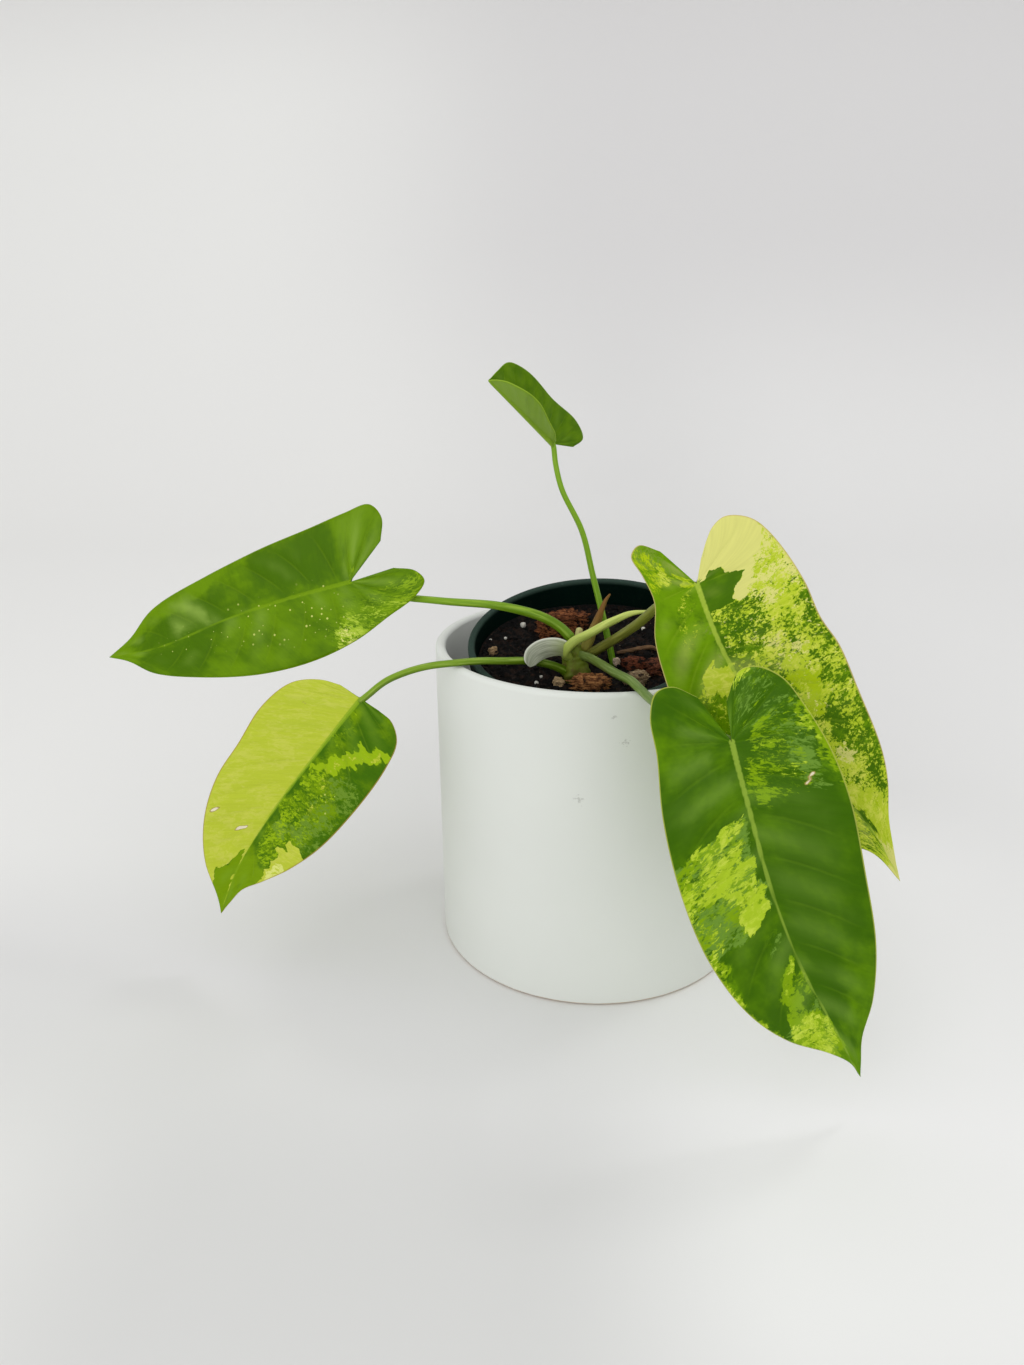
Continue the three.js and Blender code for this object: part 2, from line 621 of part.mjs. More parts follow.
// The plant, from the crown outwards. Each piece is cut clear of those made before it.
const plantGroup = new THREE.Group();
const blades = LEAVES.map((leaf) => bladeSheet(leaf));
const bladeCutters = blades.map((sheet) => thicken(sheet, BLADE_THICKNESS, GAP));
const crown = stemGeometry(CROWN_AXIS, CROWN_RADII, 0, CROWN_SIDES);
plantGroup.add(namedMesh("crown", crown, COLOURS.crown));
const cutters = [stemGeometry(CROWN_AXIS, CROWN_RADII, GAP, CROWN_SIDES)];

LEAVES.forEach((leaf, i) => {
  const blade = thicken(blades[i], BLADE_THICKNESS);
  plantGroup.add(namedMesh(`blade_${leaf.name}`, blade, leaf.finish));
});

function addStem(name, points, radii, finish, sides = STEM_SIDES) {
  const stem = cutClear(stemGeometry(points, radii, 0, sides), [...cutters, ...bladeCutters]);
  plantGroup.add(namedMesh(name, stem, finish));
  cutters.push(stemGeometry(points, radii, GAP, sides));
}

for (const leaf of LEAVES) {
  addStem(`petiole_${leaf.name}`, leaf.petiole, leaf.petioleRadii, COLOURS.petiole);
}
addStem("sheath_pale", PALE_SHEATH, PALE_SHEATH_RADII, COLOURS.sheath);
addStem("sheath_brown", BROWN_SHEATH, BROWN_SHEATH_RADII, COLOURS.dryTip);
addStem("stalk_stub", STALK_STUB, STALK_STUB_RADII, COLOURS.sheath);
const whiteSheath = cutClear(thicken(whiteSheathSheet(), BLADE_THICKNESS), cutters);
plantGroup.add(namedMesh("sheath_white", whiteSheath, COLOURS.sheath));

// What stands in the pot
const smallPetiole = LEAVES.find((leaf) => leaf.name === "small_upright");
const pockets = [
  stemGeometry(CROWN_AXIS, CROWN_RADII, GAP, CROWN_SIDES),
  stemGeometry(smallPetiole.petiole, smallPetiole.petioleRadii, GAP),
];
for (const pocket of pockets) pocket.applyMatrix4(intoPot);
for (const [pieces, finish] of [[SOIL_PIECES, COLOURS.bark], [PEBBLES, COLOURS.pebble]]) {
  for (const piece of pieces) {
    potGroup.add(namedMesh(piece.name, cutClear(lumpGeometry(piece), pockets), finish));
    pockets.push(lumpGeometry(piece, GAP));
  }
}
const twigPath = TWIG.map(([x, y]) => [x, y, TWIG_LIFT - SOIL_DROP]);
const twig = cutClear(stemGeometry(twigPath, TWIG_RADII), pockets);
potGroup.add(namedMesh("twig", twig, COLOURS.bark));
pockets.push(stemGeometry(twigPath, TWIG_RADII, GAP));
potGroup.add(namedMesh("nursery_pot", nurseryPotGeometry(), COLOURS.potPlastic));
potGroup.add(namedMesh("soil", soilGeometry(pockets), COLOURS.soil));

const plantInPot = new THREE.Group();
plantInPot.add(namedMesh("cachepot", cachepotGeometry(), COLOURS.glaze));
plantInPot.add(potGroup);
plantInPot.add(plantGroup);

export default plantInPot;
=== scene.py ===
import math
import random

import bmesh
import bpy
import numpy as np
from mathutils import Matrix, Vector, noise


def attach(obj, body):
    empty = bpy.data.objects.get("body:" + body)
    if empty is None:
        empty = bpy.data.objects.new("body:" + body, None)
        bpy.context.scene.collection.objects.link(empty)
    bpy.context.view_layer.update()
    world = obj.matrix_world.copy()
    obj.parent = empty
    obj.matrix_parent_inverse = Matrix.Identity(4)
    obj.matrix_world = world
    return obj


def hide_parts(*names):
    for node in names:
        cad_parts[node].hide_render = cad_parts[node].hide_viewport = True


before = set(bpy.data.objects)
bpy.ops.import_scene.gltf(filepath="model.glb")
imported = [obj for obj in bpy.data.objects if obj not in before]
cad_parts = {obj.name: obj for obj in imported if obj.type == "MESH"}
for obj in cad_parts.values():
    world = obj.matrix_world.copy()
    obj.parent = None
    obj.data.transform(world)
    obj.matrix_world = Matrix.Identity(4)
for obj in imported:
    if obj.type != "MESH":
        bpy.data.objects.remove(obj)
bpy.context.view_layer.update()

MM = 0.001

# The gap that is left between pieces that lie against each other
PIECE_GAP = 0.3

# Cachepot
CACHEPOT_RADIUS = 70
CACHEPOT_HEIGHT = 141
CACHEPOT_WALL = 4.5
CACHEPOT_FLOOR = 7
CACHEPOT_LIP_EDGE = 2
CACHEPOT_FOOT_EDGE = 1.2
CACHEPOT_FOOT_WIDTH = 5
CACHEPOT_FOOT_RISE = 0.4
CACHEPOT_INNER_CORNER = 5
CACHEPOT_SIDES = 192
# Scuffs on the glaze: place and reach
SCUFFS = [((8.1, -69.5, 131.6), 1.6), ((12.9, -68.8, 121.4), 2.6), ((-4.4, -69.9, 96.7), 3)]

# Nursery pot, in its own frame: origin at the centre of its rim
POT_RIM_RADIUS = 51.8
POT_RIM_CENTRE = Vector((-2.5, -14.5, 147.4))
POT_LEAN_FRONT = math.radians(13.3)
POT_LEAN_LEFT = math.radians(3.5)
POT_BASE_RADIUS = 37
POT_LIP_WIDTH = 3
POT_LIP_HEIGHT = 8
POT_LIP_EDGE = 0.9
POT_LIP_LOW_EDGE = 0.6
# How far down the lip's painted highlight reaches, and where its band ends
POT_LIP_HIGHLIGHT_DEPTH = 1.2
POT_LIP_HIGHLIGHT_END = 2
POT_WALL = 1.2
POT_FLOOR = 1.6
POT_SIDES = 144
DRAIN_HOLES = 5
DRAIN_HOLE_RADIUS = 4
DRAIN_HOLE_CIRCLE = 24
POT_LEAN = math.acos(math.cos(POT_LEAN_FRONT) * math.cos(POT_LEAN_LEFT))
POT_DEPTH = (
    POT_RIM_CENTRE.z - CACHEPOT_FLOOR - PIECE_GAP - POT_BASE_RADIUS * math.sin(POT_LEAN)
) / math.cos(POT_LEAN)
POT_WALL_TOP_RADIUS = POT_RIM_RADIUS - POT_LIP_WIDTH + POT_WALL
POT_PLACE = (
    Matrix.Translation(POT_RIM_CENTRE)
    @ Matrix.Rotation(-POT_LEAN_LEFT, 4, "Y")
    @ Matrix.Rotation(POT_LEAN_FRONT, 4, "X")
)

# Soil
SOIL_DROP = 12
SOIL_LUMP = 0.55
SOIL_HEAP_SLOPE = 0.1
SOIL_HEAP_START = -8
SOIL_CRUMB = 1.1
SOIL_CRUMB_SINK = 0.15
SOIL_WELL_DEPTH = 1.2
SOIL_CELLS = 170
SOIL_GRAINS = 620
LUMP_SQUARENESS = 0.75

# Blades
BLADE_ROWS = 156
BLADE_HALF_COLUMNS = 27
BLADE_SKIN = 0.3
STATION_GAP = 2
ROW_CROWDING = 1.25
COLUMN_CROWDING = 1.3
FAN_CROWDING = 1.2
EDGE_START = 0.94
TIP_START = 0.97
EDGE_THINNING = 0.6
RIB_GROOVE_WIDTH = 1.2
RIB_GROOVE_DEPTH = 0.16
RIB_WIDTH = 1.7
RIB_HEIGHT = 1.1
RIB_TAPER = 0.9
VEIN_COUNT = 11
VEIN_SWEEP = 0.07

# Points worked out for one stretch of a curve, a stem, a midrib and an outline
STRETCH_POINTS = 24
STEM_POINTS = 200
MIDRIB_POINTS = 300
OUTLINE_POINTS = 500
TINY = 1e-6

# A noise lies mostly between these two values
NOISE_LOW = 0.3
NOISE_HIGH = 0.7

# The setting, in metres
BACKDROP_REACH = 3
BACKDROP_DROP = 0.0002
LIGHT_TARGET = Vector((0, 0, 0.1))

# Each leaf hangs from its junction. "along" runs down the midrib to the tip and "up" is the
# normal of the upper face. Outline points are [across, along] in the flattened blade. "quilt" is
# how far it swells between its side veins, "lean" how much its flecks slope on each half and
# "grain" how many fit along and across the blade.
LEAVES = {
    "upper_left": {
        "junction": (-108, 0, 165.5),
        "along": (-0.949, 0.006, -0.316),
        "up": (-0.109, -0.944, 0.312),
        "fold": (0.08, 0.08),
        "arch": 0.0005,
        "sweep": 0,
        "fan": 0.22,
        "waves": 3,
        "quilt": 0.4,
        "lean": (0.05, 0.12),
        "grain": (140, 14),
        "midrib": [(0, 0), (1.5, 30), (1.4, 60), (-1.2, 98), (1.8, 124.5)],
        "right": [
            (13, -19), (22.5, -22.5), (29.5, -19), (29.5, -7), (28, 12),
            (26, 38), (22.5, 66), (16, 96), (7, 111), (1.8, 124.5),
        ],
        "left": [
            (0, -21), (-4, -30), (-9.5, -33), (-15, -27), (-20, -13), (-26, 4),
            (-29, 25), (-27.5, 52), (-20.5, 81), (-12, 103.5), (-3, 115), (1.8, 124.5),
        ],
        "petiole": [
            (-9, -18, 146), (-14.6, -15, 150.7), (-23.2, -13, 154.9), (-40.7, -9, 157.9),
            (-67.7, -3, 158.2), (-93, 2.6, 159.2), (-103, 3.4, 162), (-107.6, 2.6, 164.9),
        ],
        "petiole_radii": [2.2, 2, 1.75, 1.6, 1.5, 1.45],
    },
    "lower_left": {
        "junction": (-96.6, -40, 125.8),
        "along": (-0.666, -0.159, -0.729),
        "up": (-0.288, -0.846, 0.448),
        "fold": (0.3, 0.05),
        "arch": 0.002,
        "sweep": 0.00144,
        "fan": 0.16,
        "waves": 2,
        "quilt": 0.25,
        "lean": (0, 0.14),
        "grain": (112, 15),
        "midrib": [(0, 0), (-0.6, 30), (0.5, 66), (1, 98), (-1.5, 120)],
        "right": [
            (10.6, 1.8), (18.5, 6), (27, 15), (31, 31), (30, 50),
            (29.5, 67), (24, 88), (15.5, 103), (4, 113.5), (-1.5, 120),
        ],
        "left": [
            (-10.2, -2.6), (-18, -3.5), (-26, 0.5), (-30, 12), (-31.4, 36),
            (-29, 58), (-22, 77), (-13.3, 92), (-6, 103), (-3.5, 112), (-1.5, 120),
        ],
        "petiole": [
            (-7.6, -23.5, 131.4), (-9.9, -24, 132.9), (-16.2, -27, 137.2), (-22.3, -30, 139.8),
            (-28.3, -34, 141.8), (-36.4, -36.5, 142.4), (-46.5, -38, 142.7),
            (-56.4, -41.2, 142.8), (-66.6, -42, 141.6), (-75, -42, 139.3), (-83.7, -41, 135.3),
            (-88.1, -40.5, 132.3), (-92.6, -40.2, 128.4), (-95.4, -40, 126), (-97.8, -40.1, 124.2),
        ],
        "petiole_radii": [1.9, 1.6, 1.5, 1.45, 1.4, 1.4],
    },
    "small_upright": {
        "junction": (-18.5, 0, 225.3),
        "along": (-0.58, -0.495, 0.647),
        "up": (0.79, -0.1, 0.6),
        "fold": (0.77, 0.77),
        "arch": 0,
        "sweep": 0,
        "fan": 0.2,
        "waves": 2,
        "quilt": 0.3,
        "lean": (0, 0),
        "grain": (120, 12),
        "midrib": [(0, 0), (0, 20), (0, 41.7)],
        "right": [
            (5.8, -10.2), (12, -12.9), (15.7, -5), (15.2, 13),
            (14.6, 31), (12, 37.5), (6, 40), (0, 41.7),
        ],
        "left": [
            (-3.6, 2), (-8.4, 8.6), (-12.5, 17.5), (-14.5, 26), (-14.4, 34),
            (-10.5, 39.5), (-5, 41.3), (0, 41.7),
        ],
        "petiole": [
            (9.2, -13, 127.5), (8.3, -12.5, 133.6), (4.1, -9, 151.4), (-1.2, -5, 171.5),
            (-6, -3, 189.6), (-14.6, -1, 206.5), (-17.4, 0, 217), (-18.4, 0.2, 224.6),
            (-19.2, -0.3, 226.6),
        ],
        "petiole_radii": [1.5, 1.4, 1.25, 1.15, 1.1],
    },
    "right_back": {
        "junction": (35.5, -80, 187.1),
        "along": (0.412, -0.241, -0.879),
        "up": (0.096, -0.948, 0.304),
        "fold": (0.14, 0.14),
        "arch": 0.001,
        "sweep": 0.00358,
        "fan": 0.22,
        "waves": 3,
        "quilt": 0.35,
        "lean": (0.12, 0.06),
        "grain": (165, 23),
        "midrib": [(0, 0), (2, 30), (-1, 70), (-3.5, 107), (1, 125), (3.9, 132.4)],
        "right": [
            (7.7, -15.7), (14, -20.5), (18, -18), (17, -10), (16.8, 0), (22, 11), (25, 23),
            (28, 40), (28.5, 60), (24, 80), (14, 100), (4.5, 113), (2.6, 120), (3.9, 132.4),
        ],
        "left": [
            (-4.6, -7.4), (-9, -12.8), (-12.8, -16.3), (-18, -17.8), (-26, -13.4), (-31, -3),
            (-33.7, 15), (-33, 31), (-34, 45), (-31, 64), (-25, 88), (-19, 100.5),
            (-10, 112.3), (-2.5, 123.5), (3.9, 132.4),
        ],
        "petiole": [
            (-4.2, -20, 138.4), (2.5, -27, 145.5), (10.4, -36, 153.7), (17.7, -46, 162.7),
            (22.8, -55, 170.7), (30, -67, 180), (34.2, -75, 184.6), (35.5, -77.8, 186.2),
        ],
        "petiole_radii": [2.2, 2, 1.9, 1.8, 1.7],
    },
    "right_front": {
        "junction": (46.3, -115, 142.3),
        "along": (0.225, -0.243, -0.943),
        "up": (-0.046, -0.97, 0.239),
        "fold": (0.14, 0.14),
        "arch": 0.0024,
        "sweep": 0.00249,
        "fan": 0.22,
        "waves": 3,
        "quilt": 0.55,
        "lean": (0.02, -0.04),
        "grain": (140, 10),
        "midrib": [(0, 0), (-0.5, 25), (0.2, 50), (0.6, 85), (-0.2, 112), (1.2, 137.9)],
        "right": [
            (8.4, -17.3), (15.9, -22.4), (21.5, -21.6), (25, -14), (25.5, 0), (28.3, 19),
            (29.8, 45), (29, 70), (24, 92.5), (16, 109), (6, 121.5), (1.5, 130), (1.2, 137.9),
        ],
        "left": [
            (-1, -14), (-6.8, -23), (-12.5, -23.6), (-20, -18.5), (-25, -9), (-30.5, 7),
            (-33, 28), (-31, 55), (-26, 83), (-17, 106), (-7, 121), (-2, 131.5), (1.2, 137.9),
        ],
        "petiole": [
            (-7.6, -21.6, 140.4), (-5.6, -24, 141.3), (-1.6, -29, 141.9), (1.8, -36, 142.3),
            (5.2, -43, 142.6), (8.4, -50, 143), (14.6, -61.5, 143.6), (17.4, -69.5, 143.6),
            (20.9, -86, 145.5), (22.8, -95.5, 147.3), (26.5, -103, 147.6), (33, -107.5, 146),
            (40, -110.8, 143.8), (46.4, -112.8, 141.7),
        ],
        "petiole_radii": [1.9, 1.8, 1.8, 1.7, 1.6, 1.6],
    },
}

# Where each blade's colours lie. A region is drawn by its corners in (share, across): share
# runs from the sinus round the lobe to the tip, across from the midrib (0) to the margins
# (1 on the leaf's right). Each entry is layer, strength, softness in millimetres, corners.
# A strength of FULL covers the region, 0.5 mottles half of it and NONE keeps it clear.
# The "sheen" layer marks where painted highlights lie on the blade.
FULL = 1.5
NONE = -0.6
MARK_LENGTH = 170
MARK_WIDTH = 30
BROAD_PUSH = 2.4
FINE_PUSH = 1.3
FINE_PUSH_SCALE = 3.1
SIDEWAYS_PUSH = 1.6


def box(start, end, low, high):
    """A region with straight sides, from one share to another and one width to another."""
    return [(start, low), (start, high), (end, high), (end, low)]


# Regions that more than one layer takes up
LOWER_LEFT_TIP = [
    (0.783, 0), (0.812, 0.2), (0.835, 0.45), (0.855, 0.75), (0.89, 0.95), (0.92, 1.1),
    (1.1, 1.1), (1.1, 0),
]
RIGHT_BACK_LOBE = [
    (-0.1, -0.03), (-0.1, -1.1), (0.155, -1.1), (0.18, -0.9), (0.215, -0.75),
    (0.24, -0.6), (0.3, -0.42), (0.31, -0.3), (0.22, -0.03),
]
RIGHT_BACK_DARK_PATCH = [
    (0.21, -0.02), (0.213, -0.1), (0.17, -0.14), (0.15, -0.21), (0.176, -0.25),
    (0.186, -0.34), (0.225, -0.32), (0.24, -0.52), (0.258, -0.45), (0.272, -0.35),
    (0.305, -0.28), (0.315, -0.02),
]
RIGHT_BACK_TIP = [
    (0.83, -0.05), (0.77, -0.2), (0.765, -0.36), (0.8, -0.58), (0.825, -0.78),
    (0.87, -1.1), (1.1, -1.1), (1.1, 0),
]
MARKS = {
    "upper_left": [
        ("light", 0.4, 1, box(0, 1, -1.1, 1.1)),
        ("light", 0.75, 14, [(0, 0.1), (0, 1.1), (0.24, 1.1), (0.2, 0.1)]),
        ("light", -0.05, 14, [(0.26, 0.1), (0.26, 0.9), (0.5, 0.9), (0.52, 0.1)]),
        ("light", 0.7, 14, box(0.06, 0.72, -1.1, 0)),
        ("light", 0.05, 14, [(0.72, -0.85), (0.62, 0.7), (0.9, 0.5), (0.9, -0.5)]),
        ("light", 0.9, 10, [(0.5, 0.84), (0.5, 1.1), (1, 1.1), (0.93, 0.6)]),
        ("light", 1, 10, box(0.92, 1.1, -1.1, 1.1)),
        ("sap", 0.32, 6, [(0.05, -1.1), (0.08, -0.5), (0.3, -0.3), (0.37, -0.6), (0.38, -1.1)]),
        ("sap", 0.9, 4, [(0.08, 0.09), (0.1, 0.19), (0.19, 0.16), (0.19, 0.08)]),
        ("lime", 0.3, 6, [(0.12, -1.1), (0.18, -0.55), (0.33, -0.5), (0.37, -1.1)]),
        ("lime", 0.56, 4, [(0.26, -1.1), (0.28, -0.72), (0.345, -0.55), (0.37, -1.1)]),
        ("cream", 0.36, 3, [(0.29, -1.1), (0.29, -0.62), (0.34, -0.62), (0.365, -1.1)]),
        ("speck", 1, 8, [(0.3, -0.75), (0.3, 0.1), (0.84, 0.14), (0.84, -0.35)]),
        ("sheen", 0.75, 9, [(0.69, 0.1), (0.69, 0.85), (0.77, 0.75), (0.79, 0.1)]),
        ("sheen", 0.3, 8, box(0, 0.08, 0.2, 0.95)),
        ("sheen", 0.4, 8, box(0.12, 0.2, 0.3, 0.95)),
    ],
    "lower_left": [
        ("lime", FULL, 1, box(0, 1, 0, 1.1)),
        ("light", 1.1, 3, LOWER_LEFT_TIP),
        ("lime", NONE, 1.5, LOWER_LEFT_TIP),
        ("light", 0.1, 4, box(0, 0.76, -1.1, 0)),
        ("light", 0.5, 8, [(0.22, -0.3), (0.19, -0.04), (0.77, -0.04), (0.77, -0.8), (0.42, -0.8)]),
        ("sap", 0.2, 4, [(0.24, -0.3), (0.2, -0.04), (0.46, -0.04), (0.45, -0.12), (0.32, -0.2)]),
        ("sap", 0.3, 5, [
            (0.4, -0.7), (0.4, -0.3), (0.48, -0.05), (0.7, -0.05), (0.68, -0.6), (0.56, -0.8),
        ]),
        ("sap", 0.5, 5, box(0.56, 0.64, -0.42, -0.05)),
        ("lime", 0.08, 5, [(0.42, -0.7), (0.42, -0.3), (0.5, -0.05), (0.68, -0.05), (0.66, -0.6)]),
        ("grey", 0.46, 8, [(0.3, -1), (0.33, -0.6), (0.4, -0.3), (0.62, -0.4), (0.62, -1)]),
        ("sap", 0.16, 6, [(0.42, -1), (0.44, -0.6), (0.6, -0.55), (0.6, -1)]),
        ("grey", 0.8, 3, [
            (0.585, -0.62), (0.61, -0.5), (0.645, -0.1), (0.68, -0.1), (0.665, -0.5),
        ]),
        ("sap", FULL, 2, [
            (0.14, -1.1), (0.165, -0.96), (0.19, -0.8), (0.22, -0.64), (0.26, -0.5), (0.31, -0.36),
            (0.37, -0.22), (0.44, -0.12), (0.455, -0.03), (0.48, -0.03), (0.46, -0.12),
            (0.42, -0.26), (0.375, -0.4), (0.335, -0.52), (0.28, -0.66), (0.24, -0.8),
            (0.195, -0.93), (0.17, -1.1),
        ]),
        ("lime", 0.36, 2, [
            (0.165, -0.95), (0.22, -0.7), (0.28, -0.5), (0.34, -0.32), (0.42, -0.2), (0.42, -0.26),
            (0.37, -0.38), (0.32, -0.5), (0.27, -0.68), (0.21, -0.88),
        ]),
        ("sap", 0.46, 3, [(0.68, -0.75), (0.68, -0.1), (0.765, -0.1), (0.765, -0.78)]),
        ("lime", FULL, 2, [
            (0.605, -1.1), (0.6, -0.72), (0.65, -0.66), (0.685, -0.57), (0.7, -0.76),
            (0.76, -0.78), (0.8, -0.95), (0.82, -1.1),
        ]),
        ("cream", 0.62, 2, [(0.69, -1.1), (0.69, -0.84), (0.76, -0.82), (0.81, -1.1)]),
        ("light", 0.9, 5, box(0.77, 1.1, -1.1, 0)),
        ("speck", 0.9, 3, box(0.4, 0.49, -0.74, -0.5)),
        ("light", 0.4, 8, box(0, 0.08, -1.1, -0.4)),
        ("scar", 1.1, 1, [(0.706, 0.25), (0.71, 0.42), (0.722, 0.43), (0.718, 0.26)]),
        ("scar", 0.8, 1, [(0.638, 0.82), (0.65, 0.94), (0.662, 0.92), (0.65, 0.8)]),
        ("scar", 0.42, 1, [(0.236, 0.53), (0.23, 0.61), (0.238, 0.62), (0.244, 0.54)]),
    ],
    "small_upright": [
        ("light", 0.5, 2, box(0, 1, -1.1, 1.1)),
        ("light", 0.9, 8, [(0.1, -1.1), (0.3, 0.1), (0.36, 0.1), (0.3, -1.1)]),
        ("light", 0.9, 8, box(0.65, 1, -1.1, 0.4)),
    ],
    "right_back": [
        ("light", 0.2, 1, box(0, 1, -1.1, 0)),
        ("lime", 0.5, 2, [(0.15, -1.1), (0.2, -0.03), (0.87, -0.03), (0.87, -1.1)]),
        ("cream", 0.14, 2, [(0.15, -1.1), (0.2, -0.03), (0.6, -0.03), (0.6, -1.1)]),
        ("lime", 0.72, 5, [(0.16, -1.1), (0.22, -0.5), (0.3, -0.4), (0.36, -0.6), (0.3, -1.1)]),
        ("cream", 0.45, 5, [(0.16, -1.1), (0.22, -0.5), (0.3, -0.4), (0.34, -0.6), (0.28, -1.1)]),
        ("lime", 0.44, 6, [(0.28, -1.1), (0.3, -0.78), (0.5, -0.85), (0.5, -1.1)]),
        ("lime", 0.34, 4, [(0.28, -0.6), (0.3, -0.03), (0.47, -0.03), (0.41, -0.5)]),
        ("lime", 0.44, 4, box(0.5, 0.6, -0.9, -0.66)),
        ("lime", 0.56, 4, [(0.4, -0.85), (0.4, -0.34), (0.5, -0.34), (0.5, -0.8)]),
        ("cream", 0.3, 5, [(0.4, -0.75), (0.4, -0.4), (0.47, -0.4), (0.47, -0.7)]),
        ("sap", FULL, 4, [(0.49, -0.7), (0.5, -0.44), (0.61, -0.42), (0.61, -0.62)]),
        ("lime", 0.3, 4, [(0.5, -0.66), (0.5, -0.44), (0.6, -0.42), (0.595, -0.62)]),
        ("lime", 0.08, 4, [(0.6, -0.72), (0.61, -0.5), (0.67, -0.48), (0.68, -0.7)]),
        ("lime", 0.36, 8, [(0.5, -1.1), (0.5, -0.85), (0.62, -0.7), (0.8, -0.66), (0.84, -1.1)]),
        ("cream", 0.6, 4, [(0.67, -0.66), (0.68, -0.42), (0.73, -0.4), (0.73, -0.62)]),
        ("lime", 0.6, 4, box(0.6, 0.76, -0.5, -0.3)),
        ("lime", FULL, 1.5, RIGHT_BACK_LOBE),
        ("cream", FULL, 1.5, RIGHT_BACK_LOBE),
        ("lime", NONE, 1, RIGHT_BACK_DARK_PATCH),
        ("cream", NONE, 1, RIGHT_BACK_DARK_PATCH),
        ("sap", FULL, 3, RIGHT_BACK_TIP),
        ("lime", 0.72, 3, RIGHT_BACK_TIP),
        ("cream", NONE, 3, RIGHT_BACK_TIP),
        ("sap", -0.1, 3, [(0.84, 0), (0.84, -0.2), (0.9, -0.24), (0.9, 0)]),
        ("lime", 0.1, 3, [(0.84, 0), (0.84, -0.2), (0.9, -0.24), (0.9, 0)]),
        ("cream", 0.7, 8, [(0.9, 0), (0.91, -1.1), (1.1, -1.1), (1.1, 0)]),
        ("light", 0.75, 1, box(0, 1, 0, 1.1)),
        ("grey", 0.6, 6, [(0.02, 0.1), (0.02, 1.1), (0.1, 1.1), (0.1, 0.25)]),
        ("sap", 0.6, 4, [(0.05, 0.05), (0.07, 0.38), (0.14, 0.34), (0.22, 0.2), (0.22, 0.04)]),
        ("lime", 0.34, 4, [(0.06, 0.05), (0.07, 0.36), (0.14, 0.32), (0.2, 0.18), (0.2, 0.04)]),
        ("sap", 0.42, 5, [(0.05, 0.4), (0.05, 1.1), (0.17, 1.1), (0.15, 0.5)]),
        ("lime", 0.5, 3, [(0.07, 0.5), (0.07, 0.74), (0.15, 0.74), (0.15, 0.55)]),
        ("lime", 0.2, 6, [(0.2, 0.08), (0.22, 0.6), (0.36, 0.6), (0.34, 0.08)]),
        ("grey", 0.4, 5, [(0.33, 0), (0.33, 0.15), (0.46, 0.12), (0.46, 0)]),
        ("lime", 0.3, 4, [(0.4, 0.46), (0.4, 0.68), (0.58, 0.68), (0.54, 0.3), (0.48, 0.3)]),
        ("lime", FULL, 1.5, [
            (0.398, 0.33), (0.4, 0.41), (0.425, 0.42), (0.437, 0.48), (0.45, 0.38), (0.478, 0.3),
            (0.475, 0.04), (0.452, 0.04), (0.437, 0.12), (0.415, 0.25),
        ]),
        ("lime", 0.35, 8, box(0.56, 0.83, 0.05, 0.9)),
        ("light", 0.1, 6, box(0.82, 0.92, 0, 1.1)),
        ("lime", 0.5, 4, box(0.8, 0.96, 0, 1.1)),
        ("lime", 1, 3, box(0.95, 1.1, 0, 1.1)),
        ("cream", 1, 3, box(0.96, 1.1, 0, 1.1)),
    ],
    "right_front": [
        ("light", 0.15, 1, box(0, 1, -1.1, 1.1)),
        ("light", 0.4, 10, [(0, 0.2), (0, 1.1), (0.3, 1.1), (0.25, 0.2)]),
        ("grey", 0.62, 3, [(0.4, 0.05), (0.395, 1.1), (0.6, 1.1), (0.61, 0.5), (0.6, 0.05)]),
        ("sap", 0.5, 2, [
            (0.4, 0.07), (0.39, 0.35), (0.4, 0.6), (0.395, 0.72), (0.41, 1.1), (0.6, 1.1),
            (0.6, 0.5), (0.612, 0.35), (0.605, 0.1), (0.5, 0.04),
        ]),
        ("lime", 0.45, 3, [
            (0.4, 0.1), (0.39, 0.35), (0.41, 0.75), (0.44, 1.1), (0.55, 1.1), (0.5, 0.62),
            (0.6, 0.5), (0.612, 0.35), (0.605, 0.12), (0.5, 0.04),
        ]),
        ("lime", 0.55, 4, [(0.45, 0.1), (0.45, 0.85), (0.505, 0.85), (0.5, 0.1)]),
        ("lime", 0.5, 4, box(0.5, 0.58, 0.1, 0.5)),
        ("lime", 1, 2, [(0.39, 0.3), (0.392, 0.48), (0.43, 0.42), (0.425, 0.3)]),
        ("lime", 0.9, 2, [(0.392, 0.56), (0.395, 0.72), (0.415, 0.7), (0.41, 0.56)]),
        ("lime", 0.95, 2, [(0.583, 0.1), (0.572, 0.48), (0.6, 0.5), (0.612, 0.35), (0.605, 0.12)]),
        ("sap", 0, 3, [(0.43, 0), (0.43, 0.14), (0.48, 0.16), (0.49, 0)]),
        ("lime", -0.1, 3, [(0.43, 0), (0.43, 0.14), (0.48, 0.16), (0.49, 0)]),
        ("sap", 0.34, 4, [(0.5, 0.64), (0.5, 0.96), (0.61, 0.96), (0.61, 0.6)]),
        ("lime", 0.2, 4, [(0.51, 0.64), (0.5, 0.96), (0.61, 0.96), (0.61, 0.6)]),
        ("sap", 0.6, 3, [(0.58, 0.8), (0.58, 1.1), (0.84, 1.1), (0.84, 0.94), (0.7, 0.88)]),
        ("lime", 0.5, 3, [(0.58, 0.84), (0.58, 1.1), (0.8, 1.1), (0.8, 0.96), (0.7, 0.9)]),
        ("grey", 0.3, 3, box(0.64, 0.68, 0.04, 0.36)),
        ("grey", 0.5, 4, box(0.8, 0.93, 0, 1.1)),
        ("sap", 0.8, 2, [
            (0.706, 0.07), (0.71, 0.26), (0.725, 0.4), (0.745, 0.5), (0.775, 0.6), (0.81, 0.7),
            (0.84, 1.1), (0.93, 1.1), (0.93, -0.1), (0.86, -0.05), (0.83, 0.12), (0.8, 0.26),
            (0.77, 0.25), (0.742, 0.2), (0.722, 0.08),
        ]),
